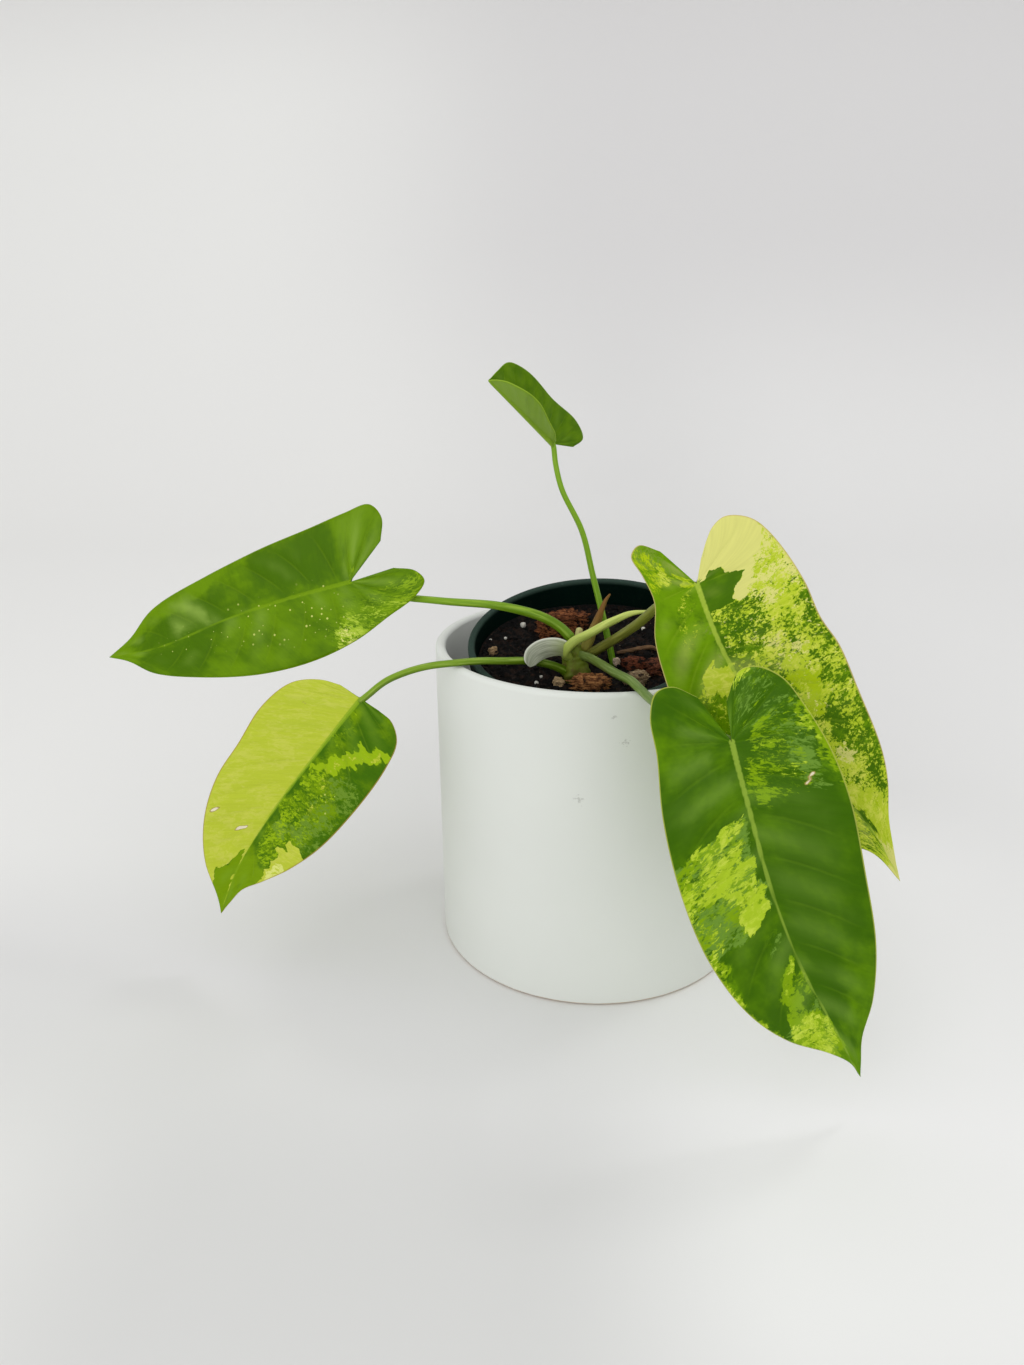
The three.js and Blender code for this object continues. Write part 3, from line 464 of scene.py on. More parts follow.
        ("sap", 0.44, 3, [(0.745, 0), (0.745, 0.22), (0.83, 0.16), (0.86, 0)]),
        ("lime", 0.36, 3, [
            (0.706, 0.07), (0.71, 0.26), (0.745, 0.5), (0.8, 0.66), (0.78, 0.4), (0.73, 0.14),
        ]),
        ("lime", 0.55, 4, [
            (0.8, 0.35), (0.8, 0.66), (0.84, 1.1), (0.92, 1.1), (0.91, 0), (0.85, 0),
        ]),
        ("light", 0.7, 6, [(0.92, -1.1), (0.9, 1.1), (1.1, 1.1), (1.1, -1.1)]),
        ("light", 0.5, 10, [(0.68, -1.1), (0.68, -0.6), (0.92, -0.3), (0.92, -1.1)]),
        ("grey", 0.25, 6, [(0.03, -0.15), (0.03, -1.05), (0.2, -1.05), (0.2, -0.1)]),
        ("sap", 0.14, 6, box(0.08, 0.24, -1.1, -0.2)),
        ("grey", 0.5, 5, box(0.2, 0.36, -0.92, -0.5)),
        ("sap", 0.16, 6, [
            (0.22, -0.85), (0.22, -0.3), (0.31, -0.05), (0.4, -0.05), (0.38, -0.6), (0.34, -0.85),
        ]),
        ("lime", 0.1, 6, [(0.22, -0.85), (0.22, -0.3), (0.3, -0.05), (0.36, -0.05), (0.33, -0.85)]),
        ("sap", 0.34, 4, [
            (0.255, -0.8), (0.255, -0.05), (0.31, -0.05), (0.31, -0.5), (0.29, -0.8),
        ]),
        ("sap", 0.5, 3, [(0.32, -0.05), (0.32, -0.25), (0.39, -0.24), (0.405, -0.05)]),
        ("sap", 0.66, 3, [
            (0.172, -0.5), (0.175, -0.25), (0.2, -0.2), (0.235, -0.14), (0.235, -0.25),
            (0.22, -0.5),
        ]),
        ("sap", 0.7, 3, [(0.19, -0.88), (0.19, -1.1), (0.37, -1.1), (0.35, -0.95), (0.26, -0.88)]),
        ("lime", 0.42, 3, box(0.19, 0.28, -0.98, -0.86)),
        ("lime", 0.55, 3, [(0.04, -0.78), (0.035, -1.1), (0.085, -1.1), (0.08, -0.82)]),
        ("scar", 1, 0.6, [(0.325, -0.72), (0.33, -0.735), (0.35, -0.635), (0.346, -0.625)]),
        ("sheen", 0.4, 10, box(0.12, 0.2, 0.25, 0.65)),
        ("sheen", 0.5, 8, [(0.24, 0.25), (0.22, 0.85), (0.27, 0.9), (0.29, 0.3)]),
        ("sheen", 0.36, 8, [(0.3, 0.1), (0.3, 0.9), (0.34, 0.9), (0.35, 0.1)]),
        ("sheen", 0.24, 12, [(0.41, -0.8), (0.41, -0.1), (0.68, -0.05), (0.7, -0.7)]),
    ],
}

# The crown and what else grows from it
CROWN_AXIS = [(-6.8, -23.2, 124), (-7.3, -23, 131), (-8.1, -22, 138.4), (-9.2, -21, 146.4)]
CROWN_RADII = [4.2, 6.2, 5.9, 5.2, 4.2, 2.4]
STALK_STUB = [(-7.6, -18.4, 141), (-6.9, -15.6, 146), (-6.1, -14, 150.4)]
STALK_STUB_RADII = [1.5, 1.6, 1.5]
PALE_SHEATH = [
    (-9.5, -23.5, 139.5), (-12, -27.4, 143.4), (-8.4, -28.2, 148.6), (-1.8, -27.5, 152),
    (6.3, -28, 157), (14.3, -30.5, 161.5), (20.9, -34, 163.7),
]
PALE_SHEATH_RADII = [1.9, 2, 1.9, 1.7, 1.3, 0.5]
BROWN_SHEATH = [
    (-4.6, -21, 142), (-2.6, -20.2, 145.8), (-1, -19, 149.6), (1, -18, 153.9),
    (2.8, -17.5, 159.2), (4.6, -17.2, 163.5), (6.4, -17, 166.2),
]
BROWN_SHEATH_RADII = [2.2, 2.2, 2, 1.6, 1, 0.4]
WHITE_SHEATH_TOP = [
    (-9.8, -24.6, 146.4), (-13.2, -26.4, 148.8), (-16.2, -28, 149.9), (-19.7, -30, 150.3),
    (-22.7, -31.8, 150), (-25.7, -33.6, 148.8), (-27.7, -35, 147), (-28.5, -36.2, 144.5),
    (-28.1, -37, 142.3), (-26.5, -37.2, 140.5),
]
WHITE_SHEATH_LOW = [
    (-12, -27.4, 141.5), (-14.5, -29.6, 142.8), (-17.1, -31.6, 143.1), (-19.6, -33.2, 142.9),
    (-22, -34.8, 142), (-24, -36.2, 140.6), (-26.1, -37.2, 140.1),
]
WHITE_SHEATH_BULGE = (-0.3, -2.2, 0.8)

# Pieces that lie on the soil: name, place, size, lift above the soil, turn, seed
BARK = [
    ("bark_back", (-11.5, 23), (20, 12, 13), 3.8, 0.15, 3),
    ("bark_front", (0.5, -22.5), (15, 7, 7), 1.6, -0.1, 5),
    ("bark_pale", (19.6, -19.6), (8.6, 5.4, 6.4), 1.2, 0.1, 8),
    ("bark_right", (19.5, -7.5), (10, 6, 5), 1.2, -0.3, 13),
    ("bark_far_right", (31, -10), (14, 10, 6), 1.2, 0.3, 34),
]
PEBBLES = [
    ("pebble_front", (-13.2, -19.4), (4.6, 4, 4.8), 1, 0, 2),
    ("pebble_left", (-42, 3), (3.8, 3, 3.8), 3.9, 0.4, 6),
    ("pebble_behind", (11.6, -5.6), (3, 2.6, 4.4), 1.2, 0, 9),
]
PERLITE = [
    (-30.3, 27.8, 1.4), (-37.7, 16.5, 0.9), (-44, 13.4, 0.8), (-44.6, -4, 0.9),
    (-22.2, -19.8, 0.9), (-20.4, -14.6, 0.7), (-38, 32, 0.8), (-20, 36, 0.8),
    (24, 22, 0.9), (8, -34, 0.8), (36, 6, 0.9),
]
TWIG = [(11.5, 2.3), (17.5, 3.9), (22.7, 5.5), (27, 5.6), (30, 3)]
TWIG_LIFT = 0.7
TWIG_RADII = [0.7, 1, 1, 0.8]

# How broken, fibrous, uneven and frayed the chips and the stones are
BARK_SURFACE = {"rough": 0.22, "fibre": (0.9, 7, 7), "uneven_by": 0.3, "frayed": 0.55}
STONE_SURFACE = {"rough": 0.13, "fibre": (1.5, 1.5, 1.5), "uneven_by": 0.4, "frayed": 0}


# Curves

def smooth_line(points, count):
    """Evenly spaced points on the smooth curve through the given ones."""
    knots = np.array(points, float)
    ends = np.vstack([2 * knots[0] - knots[1], knots, 2 * knots[-1] - knots[-2]])
    steps = np.linspace(0, 1, STRETCH_POINTS, endpoint=False)[:, None]
    parts = []
    for i in range(len(knots) - 1):
        p0, p1, p2, p3 = ends[i:i + 4]
        d0 = np.sum((p1 - p0) ** 2) ** 0.25
        d1 = np.sum((p2 - p1) ** 2) ** 0.25
        d2 = np.sum((p3 - p2) ** 2) ** 0.25
        leave = ((p1 - p0) / d0 - (p2 - p0) / (d0 + d1) + (p2 - p1) / d1) * d1
        arrive = ((p2 - p1) / d1 - (p3 - p1) / (d1 + d2) + (p3 - p2) / d2) * d1
        square = -3 * p1 + 3 * p2 - 2 * leave - arrive
        cube = 2 * p1 - 2 * p2 + leave + arrive
        parts.append(p1 + leave * steps + square * steps ** 2 + cube * steps ** 3)
    parts.append(knots[-1:])
    line = np.vstack(parts)
    lengths = np.linalg.norm(np.diff(line, axis=0), axis=1)
    travelled = np.concatenate([[0], np.cumsum(lengths)])
    wanted = np.linspace(0, travelled[-1], count)
    return np.stack([np.interp(wanted, travelled, column) for column in line.T], 1)


def along(line, share):
    """Points at the given shares of an evenly spaced line."""
    place = np.clip(share, 0, 1) * (len(line) - 1)
    index = np.arange(len(line))
    return np.stack([np.interp(place, index, column) for column in np.transpose(line)], -1)


def ease(value, low, high):
    share = np.clip((value - low) / (high - low), 0, 1)
    return share * share * (3 - 2 * share)


# Meshes

def grid(rows, columns, layers):
    """A flat net of cells, with its vertices and their (row, column) shares."""
    bm = bmesh.new()
    for name in layers:
        bm.verts.layers.float.new(name)
    made = {name: bm.verts.layers.float[name] for name in layers}
    bmesh.ops.create_grid(bm, x_segments=columns, y_segments=rows, size=0.5)
    verts = list(bm.verts)
    places = np.array([vert.co[:] for vert in verts])
    row_share = np.clip(places[:, 1] + 0.5, 0, 1)
    column_share = np.clip(places[:, 0] + 0.5, 0, 1)
    return bm, verts, row_share, column_share, made


def move(verts, points):
    for vert, point in zip(verts, points):
        vert.co = point


def object_from(bm, name, material):
    mesh = bpy.data.meshes.new(name)
    for face in bm.faces:
        face.smooth = True
    bm.to_mesh(mesh)
    bm.free()
    made = bpy.data.objects.new(name, mesh)
    bpy.context.scene.collection.objects.link(made)
    made.data.materials.append(material)
    return made


def draw_together(bm, verts, chosen):
    """Merges the chosen vertices into one."""
    group = [vert for vert, wanted in zip(verts, chosen) if wanted]
    bmesh.ops.pointmerge(bm, verts=group, merge_co=group[0].co)


def thicken(bm, above, below):
    """Turns an open sheet into a closed skin. The layer "upper" is 1 on its upper face."""
    outward = bm.verts.layers.float_vector.new("outward")
    mark = bm.verts.layers.float["upper"]
    bm.normal_update()
    lower = list(bm.verts)
    for vert in lower:
        vert[outward] = vert.normal
    made = bmesh.ops.extrude_face_region(bm, geom=list(bm.faces), use_keep_orig=True)["geom"]
    upper = [item for item in made if isinstance(item, bmesh.types.BMVert)]
    for vert in upper:
        vert.co += vert[outward] * above(vert) * MM
        vert[mark] = 1
    for vert in lower:
        vert.co -= vert[outward] * below(vert) * MM
    bm.verts.layers.float_vector.remove(outward)
    bmesh.ops.recalc_face_normals(bm, faces=bm.faces)


def show(piece, node):
    """Puts a piece in a node's place on the object."""
    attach(piece, "root")
    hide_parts(node)


def carried_frames(line):
    """A side direction for each point of a line, carried along it without twisting."""
    tangents = np.gradient(line, axis=0)
    tangents /= np.linalg.norm(tangents, axis=1)[:, None]
    start = np.array([0, 0, 1.0])
    if abs(tangents[0] @ start) > 0.9:
        start = np.array([1.0, 0, 0])
    side = start - tangents[0] * (start @ tangents[0])
    sides = []
    for tangent in tangents:
        side = side - tangent * (side @ tangent)
        side = side / np.linalg.norm(side)
        sides.append(side)
    sides = np.array(sides)
    return sides, np.cross(tangents, sides)


def stem(name, points, radii, material, around=24, spacing=0.9, ridge=0.0, ridges=5, knobs=0.0):
    """A closed round stem along a curve, rounded at both ends, with fine ridges."""
    rough_line = smooth_line(points, STEM_POINTS)
    length = np.sum(np.linalg.norm(np.diff(rough_line, axis=0), axis=1))
    steps = int(length / spacing) + 6
    line = smooth_line(points, steps + 1)
    side, up = carried_frames(line)
    bm, verts, travel, turn, made = grid(steps, around, ("travel", "length", "side", "top"))
    index = np.round(travel * steps).astype(int)
    knots = np.linspace(0, 1, len(radii))
    radius = np.interp(travel, knots, radii)
    reach = np.minimum(travel, 1 - travel) * length
    cap = np.clip(reach / np.maximum(radius * 0.9, 0.3), 0, 1)
    radius = radius * np.sqrt(1 - (1 - cap) ** 2)
    angle = turn * 2 * math.pi
    radius = radius * (1 + ridge * np.sin(ridges * angle + 2 * np.sin(travel * 9)))
    centre = line[index]
    if knobs:
        for i, vert in enumerate(verts):
            spot = Vector(centre[i]) + Vector((math.cos(angle[i]), math.sin(angle[i]), 0)) * 3
            radius[i] += knobs * noise.noise(spot * 0.5) * min(1, radius[i])
    across = np.cos(angle)[:, None] * side[index] + np.sin(angle)[:, None] * up[index]
    move(verts, (centre + across * radius[:, None]) * MM)
    for i, vert in enumerate(verts):
        vert[made["travel"]] = travel[i]
        vert[made["length"]] = travel[i] * length
        vert[made["side"]] = math.cos(angle[i])
        vert[made["top"]] = math.sin(angle[i])
    draw_together(bm, verts, travel < TINY)
    draw_together(bm, verts, travel > 1 - TINY)
    bmesh.ops.remove_doubles(bm, verts=bm.verts, dist=TINY / 10)
    bmesh.ops.recalc_face_normals(bm, faces=bm.faces)
    return object_from(bm, name, material)


def spun(profile, steps):
    """A bmesh turned from a profile of (radius, height)."""
    bm = bmesh.new()
    verts = [bm.verts.new((radius * MM, 0, height * MM)) for radius, height in profile]
    edges = [bm.edges.new(pair) for pair in zip(verts, verts[1:])]
    bmesh.ops.spin(
        bm, geom=verts + edges, cent=(0, 0, 0), axis=(0, 0, 1), angle=math.tau,
        steps=steps, use_merge=True,
    )
    bmesh.ops.remove_doubles(bm, verts=bm.verts, dist=TINY)
    return bm


def corner(centre, radius, start, end, count=6):
    """Points of an arc in a profile, from one angle to the other in degrees."""
    angles = np.radians(np.linspace(start, end, count))
    return [(centre[0] + radius * math.cos(a), centre[1] + radius * math.sin(a)) for a in angles]


# Materials

def tint(red, green, blue):
    """A colour as it is seen on a screen, for a shader."""
    def linear(value):
        value /= 255
        return value / 12.92 if value <= 0.04045 else ((value + 0.055) / 1.055) ** 2.4
    return (linear(red), linear(green), linear(blue), 1)


def midway(first, second):
    return tuple((a + b) / 2 for a, b in zip(first, second))


class Finish:
    """A material and the short words to wire it."""

    def __init__(self, name):
        self.material = bpy.data.materials.new(name)
        self.material.use_nodes = True
        self.tree = self.material.node_tree

    def feed(self, socket, value):
        if isinstance(value, bpy.types.NodeSocket):
            self.tree.links.new(value, socket)
        else:
            socket.default_value = value

    def node(self, kind, sockets, **settings):
        made = self.tree.nodes.new("ShaderNode" + kind)
        for key, value in settings.items():
            setattr(made, key, value)
        for key, value in sockets.items():
            self.feed(made.inputs[key], value)
        return made

    def field(self, name):
        return self.node("Attribute", {}, attribute_name=name).outputs["Fac"]

    def place(self, scale=(1, 1, 1)):
        """The spot on the object, in millimetres."""
        spot = self.node("TexCoord", {}).outputs["Object"]
        stretch = tuple(value / MM for value in scale)
        return self.node("Mapping", {"Vector": spot, "Scale": stretch}).outputs["Vector"]

    def joined(self, x, y, z=0.0):
        return self.node("CombineXYZ", {"X": x, "Y": y, "Z": z}).outputs["Vector"]

    def part(self, vector, axis):
        return self.node("SeparateXYZ", {"Vector": vector}).outputs[axis]

    def noise(self, spot, scale, detail, roughness=0.5, distortion=0.0):
        return self.node("TexNoise", {
            "Vector": spot, "Scale": scale, "Detail": detail, "Roughness": roughness,
            "Distortion": distortion,
        }).outputs["Fac"]

    def cells(self, spot, scale):
        """Cells scattered over the surface: a chance number for each, and how far its middle is."""
        made = self.node("TexVoronoi", {"Vector": spot, "Scale": scale}).outputs
        pick = self.node("SeparateColor", {"Color": made["Color"]}).outputs[0]
        return pick, made["Distance"]

    def maths(self, operation, first, second=0.0):
        return self.node("Math", {0: first, 1: second}, operation=operation).outputs[0]

    def times(self, value, *others):
        for other in others:
            value = self.maths("MULTIPLY", value, other)
        return value

    def plus(self, first, second):
        return self.maths("ADD", first, second)

    def minus(self, first, second):
        return self.maths("SUBTRACT", first, second)

    def larger(self, first, second):
        return self.maths("MAXIMUM", first, second)

    def step(self, value, low, high):
        """A smooth rise from 0 at low to 1 at high."""
        sockets = {"Value": value, "From Min": low, "From Max": high}
        return self.node("MapRange", sockets, interpolation_type="SMOOTHSTEP").outputs["Result"]

    def spread(self, value, low, high, to_low, to_high):
        return self.node("MapRange", {
            "Value": value, "From Min": low, "From Max": high, "To Min": to_low, "To Max": to_high,
        }).outputs["Result"]

    def vary(self, noise, to_low, to_high):
        """A noise stretched to run from one value to the other."""
        return self.spread(noise, NOISE_LOW, NOISE_HIGH, to_low, to_high)

    def blend(self, share, first, second, mode="MIX"):
        sockets = {0: share, 6: first, 7: second}
        return self.node("Mix", sockets, data_type="RGBA", blend_type=mode).outputs[2]

    def coat(self, colour, paint, share, strength=1.0):
        """A colour with a paint over it where the share is high."""
        if strength < 1:
            share = self.times(share, strength)
        return self.blend(share, colour, paint)

    def shade(self, colour, amount):
        """A colour made darker or lighter by an amount near 1."""
        grey = self.node("CombineColor", {0: amount, 1: amount, 2: amount}).outputs[0]
        return self.blend(1.0, colour, grey, "MULTIPLY")

    def bump(self, height, distance):
        return self.node("Bump", {"Height": height, "Distance": distance}).outputs["Normal"]

    def lay(self, colour, roughness, shine, bumps=None):
        """Puts what was wired on the surface."""
        surface = self.tree.nodes["Principled BSDF"].inputs
        self.feed(surface["Base Color"], colour)
        self.feed(surface["Roughness"], roughness)
        surface["Specular IOR Level"].default_value = shine
        if bumps is not None:
            self.feed(surface["Normal"], bumps)
        return self.material


def glaze_finish():
    finish = Finish("white_glaze")
    spot = finish.place()
    soft = finish.noise(spot, 0.02, 3)
    colour = finish.blend(soft, tint(219, 222, 216), tint(225, 228, 222))
    marks = finish.noise(finish.place((1, 1, 0.35)), 0.5, 4, 0.7)
    colour = finish.coat(colour, tint(176, 176, 168), finish.step(marks, 0.73, 0.78), 0.35)
    foot = finish.plus(finish.part(spot, "Z"), finish.times(finish.noise(spot, 0.25, 3), 0.5))
    colour = finish.coat(colour, tint(196, 176, 150), finish.step(foot, 1.25, 0.75))
    for scuff, reach in SCUFFS:
        gap = finish.node("VectorMath", {0: spot, 1: scuff}, operation="DISTANCE").outputs["Value"]
        far = finish.maths("DIVIDE", gap, reach * 4)
        wear_and_highlight = finish.step(finish.minus(finish.noise(spot, 0.9, 3, 0.7), far), 0.4, 0.46)
        colour = finish.coat(colour, tint(150, 150, 142), wear_and_highlight, 0.4)
    bumps = finish.bump(finish.noise(spot, 0.12, 4), 0.00008)
    return finish.lay(colour, finish.vary(soft, 0.36, 0.44), 0.4, bumps)


def plastic_finish():
    finish = Finish("pot_plastic")
    spot = finish.place()
    grain = finish.noise(spot, 1.4, 4, 0.6)
    colour = finish.blend(finish.noise(spot, 0.08, 3), tint(1, 15, 11), tint(5, 24, 18))
    dust = finish.step(finish.noise(spot, 0.35, 5, 0.7), 0.55, 0.75)
    colour = finish.coat(colour, tint(84, 92, 80), dust, 0.06)
    # Painted highlight on the top band of the rim lip, made patchy by the dust noise
    wear_and_highlight = finish.times(finish.field("wear_and_highlight"), finish.spread(dust, 0.0, 1.0, 0.45, 0.9))
    colour = finish.coat(colour, tint(70, 90, 80), wear_and_highlight)
    return finish.lay(colour, finish.vary(grain, 0.42, 0.56), 0.04, finish.bump(grain, 0.00006))


def soil_finish():
    finish = Finish("potting_soil")
    spot = finish.place()
    crumbs = finish.step(finish.cells(spot, 0.55)[0], 0.55, 0.95)
    colour = finish.blend(crumbs, tint(7, 6, 5), tint(34, 22, 15))
    brown = finish.step(finish.noise(spot, 0.5, 4, 0.7), 0.6, 0.68)
    colour = finish.coat(colour, tint(50, 31, 21), brown)
    grey = finish.step(finish.noise(spot, 0.9, 3, 0.6), 0.68, 0.74)
    colour = finish.coat(colour, tint(120, 104, 88), grey, 0.7)
    pale = finish.blend(finish.noise(spot, 1.2, 3), tint(196, 190, 176), tint(236, 234, 226))
    colour = finish.coat(colour, pale, finish.step(finish.field("perlite"), 0.4, 0.6))
    bumps = finish.bump(finish.noise(spot, 1.1, 5, 0.7), 0.0006)
    return finish.lay(colour, 0.92, 0.2, bumps)


def bark_finish(name, dark, light):
    finish = Finish(name)
    fibres = finish.noise(finish.place((0.3, 1.9, 1.9)), 1.0, 5, 0.7, 0.4)
    colour = finish.blend(finish.step(fibres, 0.4, 0.62), dark, light)
    blotches = finish.step(finish.noise(finish.place(), 0.35, 3), 0.53, 0.66)
    colour = finish.coat(colour, tint(34, 19, 13), blotches)
    return finish.lay(colour, finish.vary(fibres, 0.75, 0.95), 0.15, finish.bump(fibres, 0.0012))


def stone_finish(name, dark, light):
    finish = Finish(name)
    grain = finish.noise(finish.place(), 1.6, 5, 0.7)
    colour = finish.blend(finish.step(grain, 0.35, 0.65), dark, light)
    return finish.lay(colour, finish.vary(grain, 0.7, 0.9), 0.3, finish.bump(grain, 0.0004))


def stem_finish(name, colours, streak=(0.07, 2.4), gloss=0.36, shaded=0.35):
    """Streaks along a stem. The colours are its base's, its tip's and the streaks'."""
    base, tip, streaks = [tint(*colour) for colour in colours]
    finish = Finish(name)
    lines = finish.noise(finish.joined(
        finish.times(finish.field("length"), streak[0]),
        finish.times(finish.field("side"), streak[1]),
        finish.times(finish.field("top"), streak[1]),
    ), 1.0, 4, 0.6)
    colour = finish.blend(finish.step(finish.field("travel"), 0.05, 0.7), base, tip)
    colour = finish.coat(colour, streaks, finish.step(lines, 0.46, 0.66), 0.6)
    # Painted shade: where the normal faces down, the belly goes back towards the darker base colour
    facing = finish.part(finish.node("NewGeometry", {}).outputs["Normal"], "Z")
    colour = finish.coat(colour, base, finish.step(facing, 0.3, -0.6), shaded)
    roughness = finish.vary(lines, gloss, gloss + 0.12)
    return finish.lay(colour, roughness, 0.2, finish.bump(lines, 0.00006))


def white_sheath_finish():
    finish = Finish("white_sheath")
    share = finish.field("share")
    across = finish.field("across")
    spot = finish.joined(finish.times(share, 1.5), finish.times(across, 26))
    lines = finish.noise(spot, 1.0, 3, 0.6)
    colour = finish.blend(finish.step(lines, 0.4, 0.62), tint(122, 128, 106), tint(166, 170, 150))
    colour = finish.coat(colour, tint(150, 164, 92), finish.step(share, 0.5, 0.0), 0.6)
    colour = finish.coat(colour, tint(226, 228, 214), finish.step(across, 0.16, 0.03), 0.7)
    return finish.lay(colour, finish.vary(lines, 0.3, 0.45), 0.5, finish.bump(lines, 0.00015))


def blade_finish(name, palette, grain, seed):
    """The variegated blade: layers of colour broken up by flecks that run along the veins."""
    finish = Finish(name)
    share = finish.field("share")
    flow = finish.field("flow")
    across = finish.field("across")
    from_rib = finish.field("from_rib")
    run = finish.maths("ABSOLUTE", across)

    def along_veins(fine, stretch, shift, detail, roughness, distortion=0.0):
        """A noise drawn out along the veins."""
        x = finish.times(flow, fine)
        y = finish.times(across, stretch)
        spot = finish.joined(x, y, seed * 3.7 + shift)
        return finish.noise(spot, 1.0, detail, roughness, distortion)

    def flecks(shift, fine=grain[0], stretch=grain[1]):
        small = along_veins(fine, stretch, shift, 6, 0.72, 0.6)
        large = along_veins(fine * 0.24, stretch * 0.3, shift + 9, 2, 0.5)
        both = finish.plus(finish.times(small, 0.68), finish.times(large, 0.32))
        return finish.spread(both, 0.37, 0.63, -0.5, 0.5)

    def amount(layer, shift):
        return finish.plus(finish.field(layer), flecks(shift))

    slow = along_veins(14, 2.2, 40, 3, 0.6)
    mottled = finish.larger(finish.field("lime"), finish.field("grey"))
    mottled = finish.step(finish.larger(mottled, finish.field("sap")), -0.5, 0.3)
    light = finish.plus(finish.field("light"), finish.vary(slow, -0.38, 0.38))
    light = finish.plus(light, finish.times(mottled, flecks(31, 120, 14)))
    colour = finish.blend(finish.step(light, 0, 1), palette["dark"], palette["mid"])
    grey = finish.step(amount("grey", 3), 0.35, 0.65)
    colour = finish.coat(colour, palette["grey"], grey)
    sap = finish.step(amount("sap", 17), 0.34, 0.66)
    colour = finish.coat(colour, palette["sap"], sap)

    # Lime has a thin border of a middle green, and brighter streaks inside
    lime = amount("lime", 11)
    border = midway(palette["mid"], palette["lime"])
    colour = finish.coat(colour, border, finish.step(lime, 0.36, 0.43))
    limed = finish.step(lime, 0.45, 0.55)
    streaks = finish.step(flecks(51, 80, 8), -0.2, 0.5)
    colour = finish.coat(
        colour, finish.blend(streaks, palette["lime"], palette["bright"]), limed,
    )
    cream = finish.step(amount("cream", 23), 0.45, 0.55)
    colour = finish.coat(colour, palette["cream"], cream)

    # Specks, and scars with a brown rim
    pick, gap = finish.cells(finish.place(), 0.4)
    dots = finish.minus(finish.spread(pick, 0.1, 1.0, 0.0, 0.24), gap)
    dots = finish.times(finish.step(dots, -0.02, 0.03), finish.field("speck"))
    colour = finish.coat(colour, palette["cream"], dots, 0.8)
    scar = finish.field("scar")
    colour = finish.coat(colour, tint(160, 146, 74), finish.step(scar, 0.25, 0.42))
    colour = finish.coat(colour, tint(226, 218, 190), finish.step(scar, 0.45, 0.7))

    # Side veins lie at whole numbers of the vein field and show as thin paler lines
    phase = finish.maths("PINGPONG", finish.field("vein"), 0.5)
    inner = finish.times(finish.step(run, 0.98, 0.55), finish.step(from_rib, 1, 8))
    bare = finish.spread(limed, 0.0, 1.0, 1.0, 0.3)
    side_vein = finish.times(finish.step(phase, 0.05, 0.012), inner, bare)
    colour = finish.coat(colour, palette["vein"], side_vein, 0.18)
    fine_veins = along_veins(190, 2, 60, 2, 0.5)
    colour = finish.shade(colour, finish.vary(fine_veins, 0.96, 1.04))

    # Each swelling between two side veins gets a painted pale highlight, each valley a painted
    # shade
    swelling = finish.times(finish.step(phase, 0.08, 0.5), finish.step(run, 1, 0.5))
    gloss = finish.step(along_veins(7, 0.9, 77, 2, 0.5), 0.4, 0.65)
    gloss = finish.times(gloss, swelling, bare, 0.3)
    painted_sheen = finish.times(finish.field("sheen"), finish.spread(swelling, 0.0, 1.0, 0.3, 1.0))
    colour = finish.coat(colour, palette["gloss"], finish.larger(gloss, painted_sheen))
    valley = finish.times(finish.step(phase, 0.2, 0.02), finish.step(run, 0.95, 0.4))
    valley = finish.times(valley, bare, finish.step(from_rib, 1, 12))
    colour = finish.shade(colour, finish.spread(valley, 0.0, 1.0, 1.0, 0.92))

    # The rib narrows and fades towards the tip
    width = finish.spread(share, 0.2, 1.0, 1.05, 0.3)
    rib = finish.step(finish.minus(width, from_rib), -0.3, 0.25)
    rib = finish.times(rib, finish.spread(share, 0.2, 0.9, 0.85, 0.5))
    colour = finish.coat(colour, palette["rib"], rib)
    colour = finish.coat(colour, palette["edge"], finish.step(run, 0.982, 0.994), 0.8)
    underside = finish.step(finish.field("upper"), 0.6, 0.4)
    colour = finish.coat(colour, palette["under"], underside, 0.45)

    grooves = finish.times(finish.step(phase, 0.08, 0.0), inner)
    relief = finish.minus(finish.times(fine_veins, 0.25), grooves)
    return finish.lay(colour, finish.vary(slow, 0.32, 0.42), 0.06, finish.bump(relief, 0.00007))


# The leaf blades

def blade_stations(leaf):
    """Points and axes along the bent midline, evenly spaced."""
    forward = np.array(leaf["along"], float)
    forward /= np.linalg.norm(forward)
    upward = np.array(leaf["up"], float)
    upward -= forward * (upward @ forward)
    upward /= np.linalg.norm(upward)
    points = [np.array(leaf["junction"], float)]
    axes = [np.stack([np.cross(forward, upward), forward, upward], 1)]
    length = leaf["right"][-1][1]
    while (len(points) - 2) * STATION_GAP < length:
        last = axes[-1]
        bend = (last[:, 2] * leaf["sweep"] - last[:, 0] * leaf["arch"]) * STATION_GAP
        angle = np.linalg.norm(bend)
        turned = last
        if angle > 0:
            turned = np.array(Matrix.Rotation(angle, 3, Vector(bend / angle))) @ last
        points.append(points[-1] + (last[:, 1] + turned[:, 1]) * STATION_GAP / 2)
        axes.append(turned)
    return np.array(points), np.array(axes)


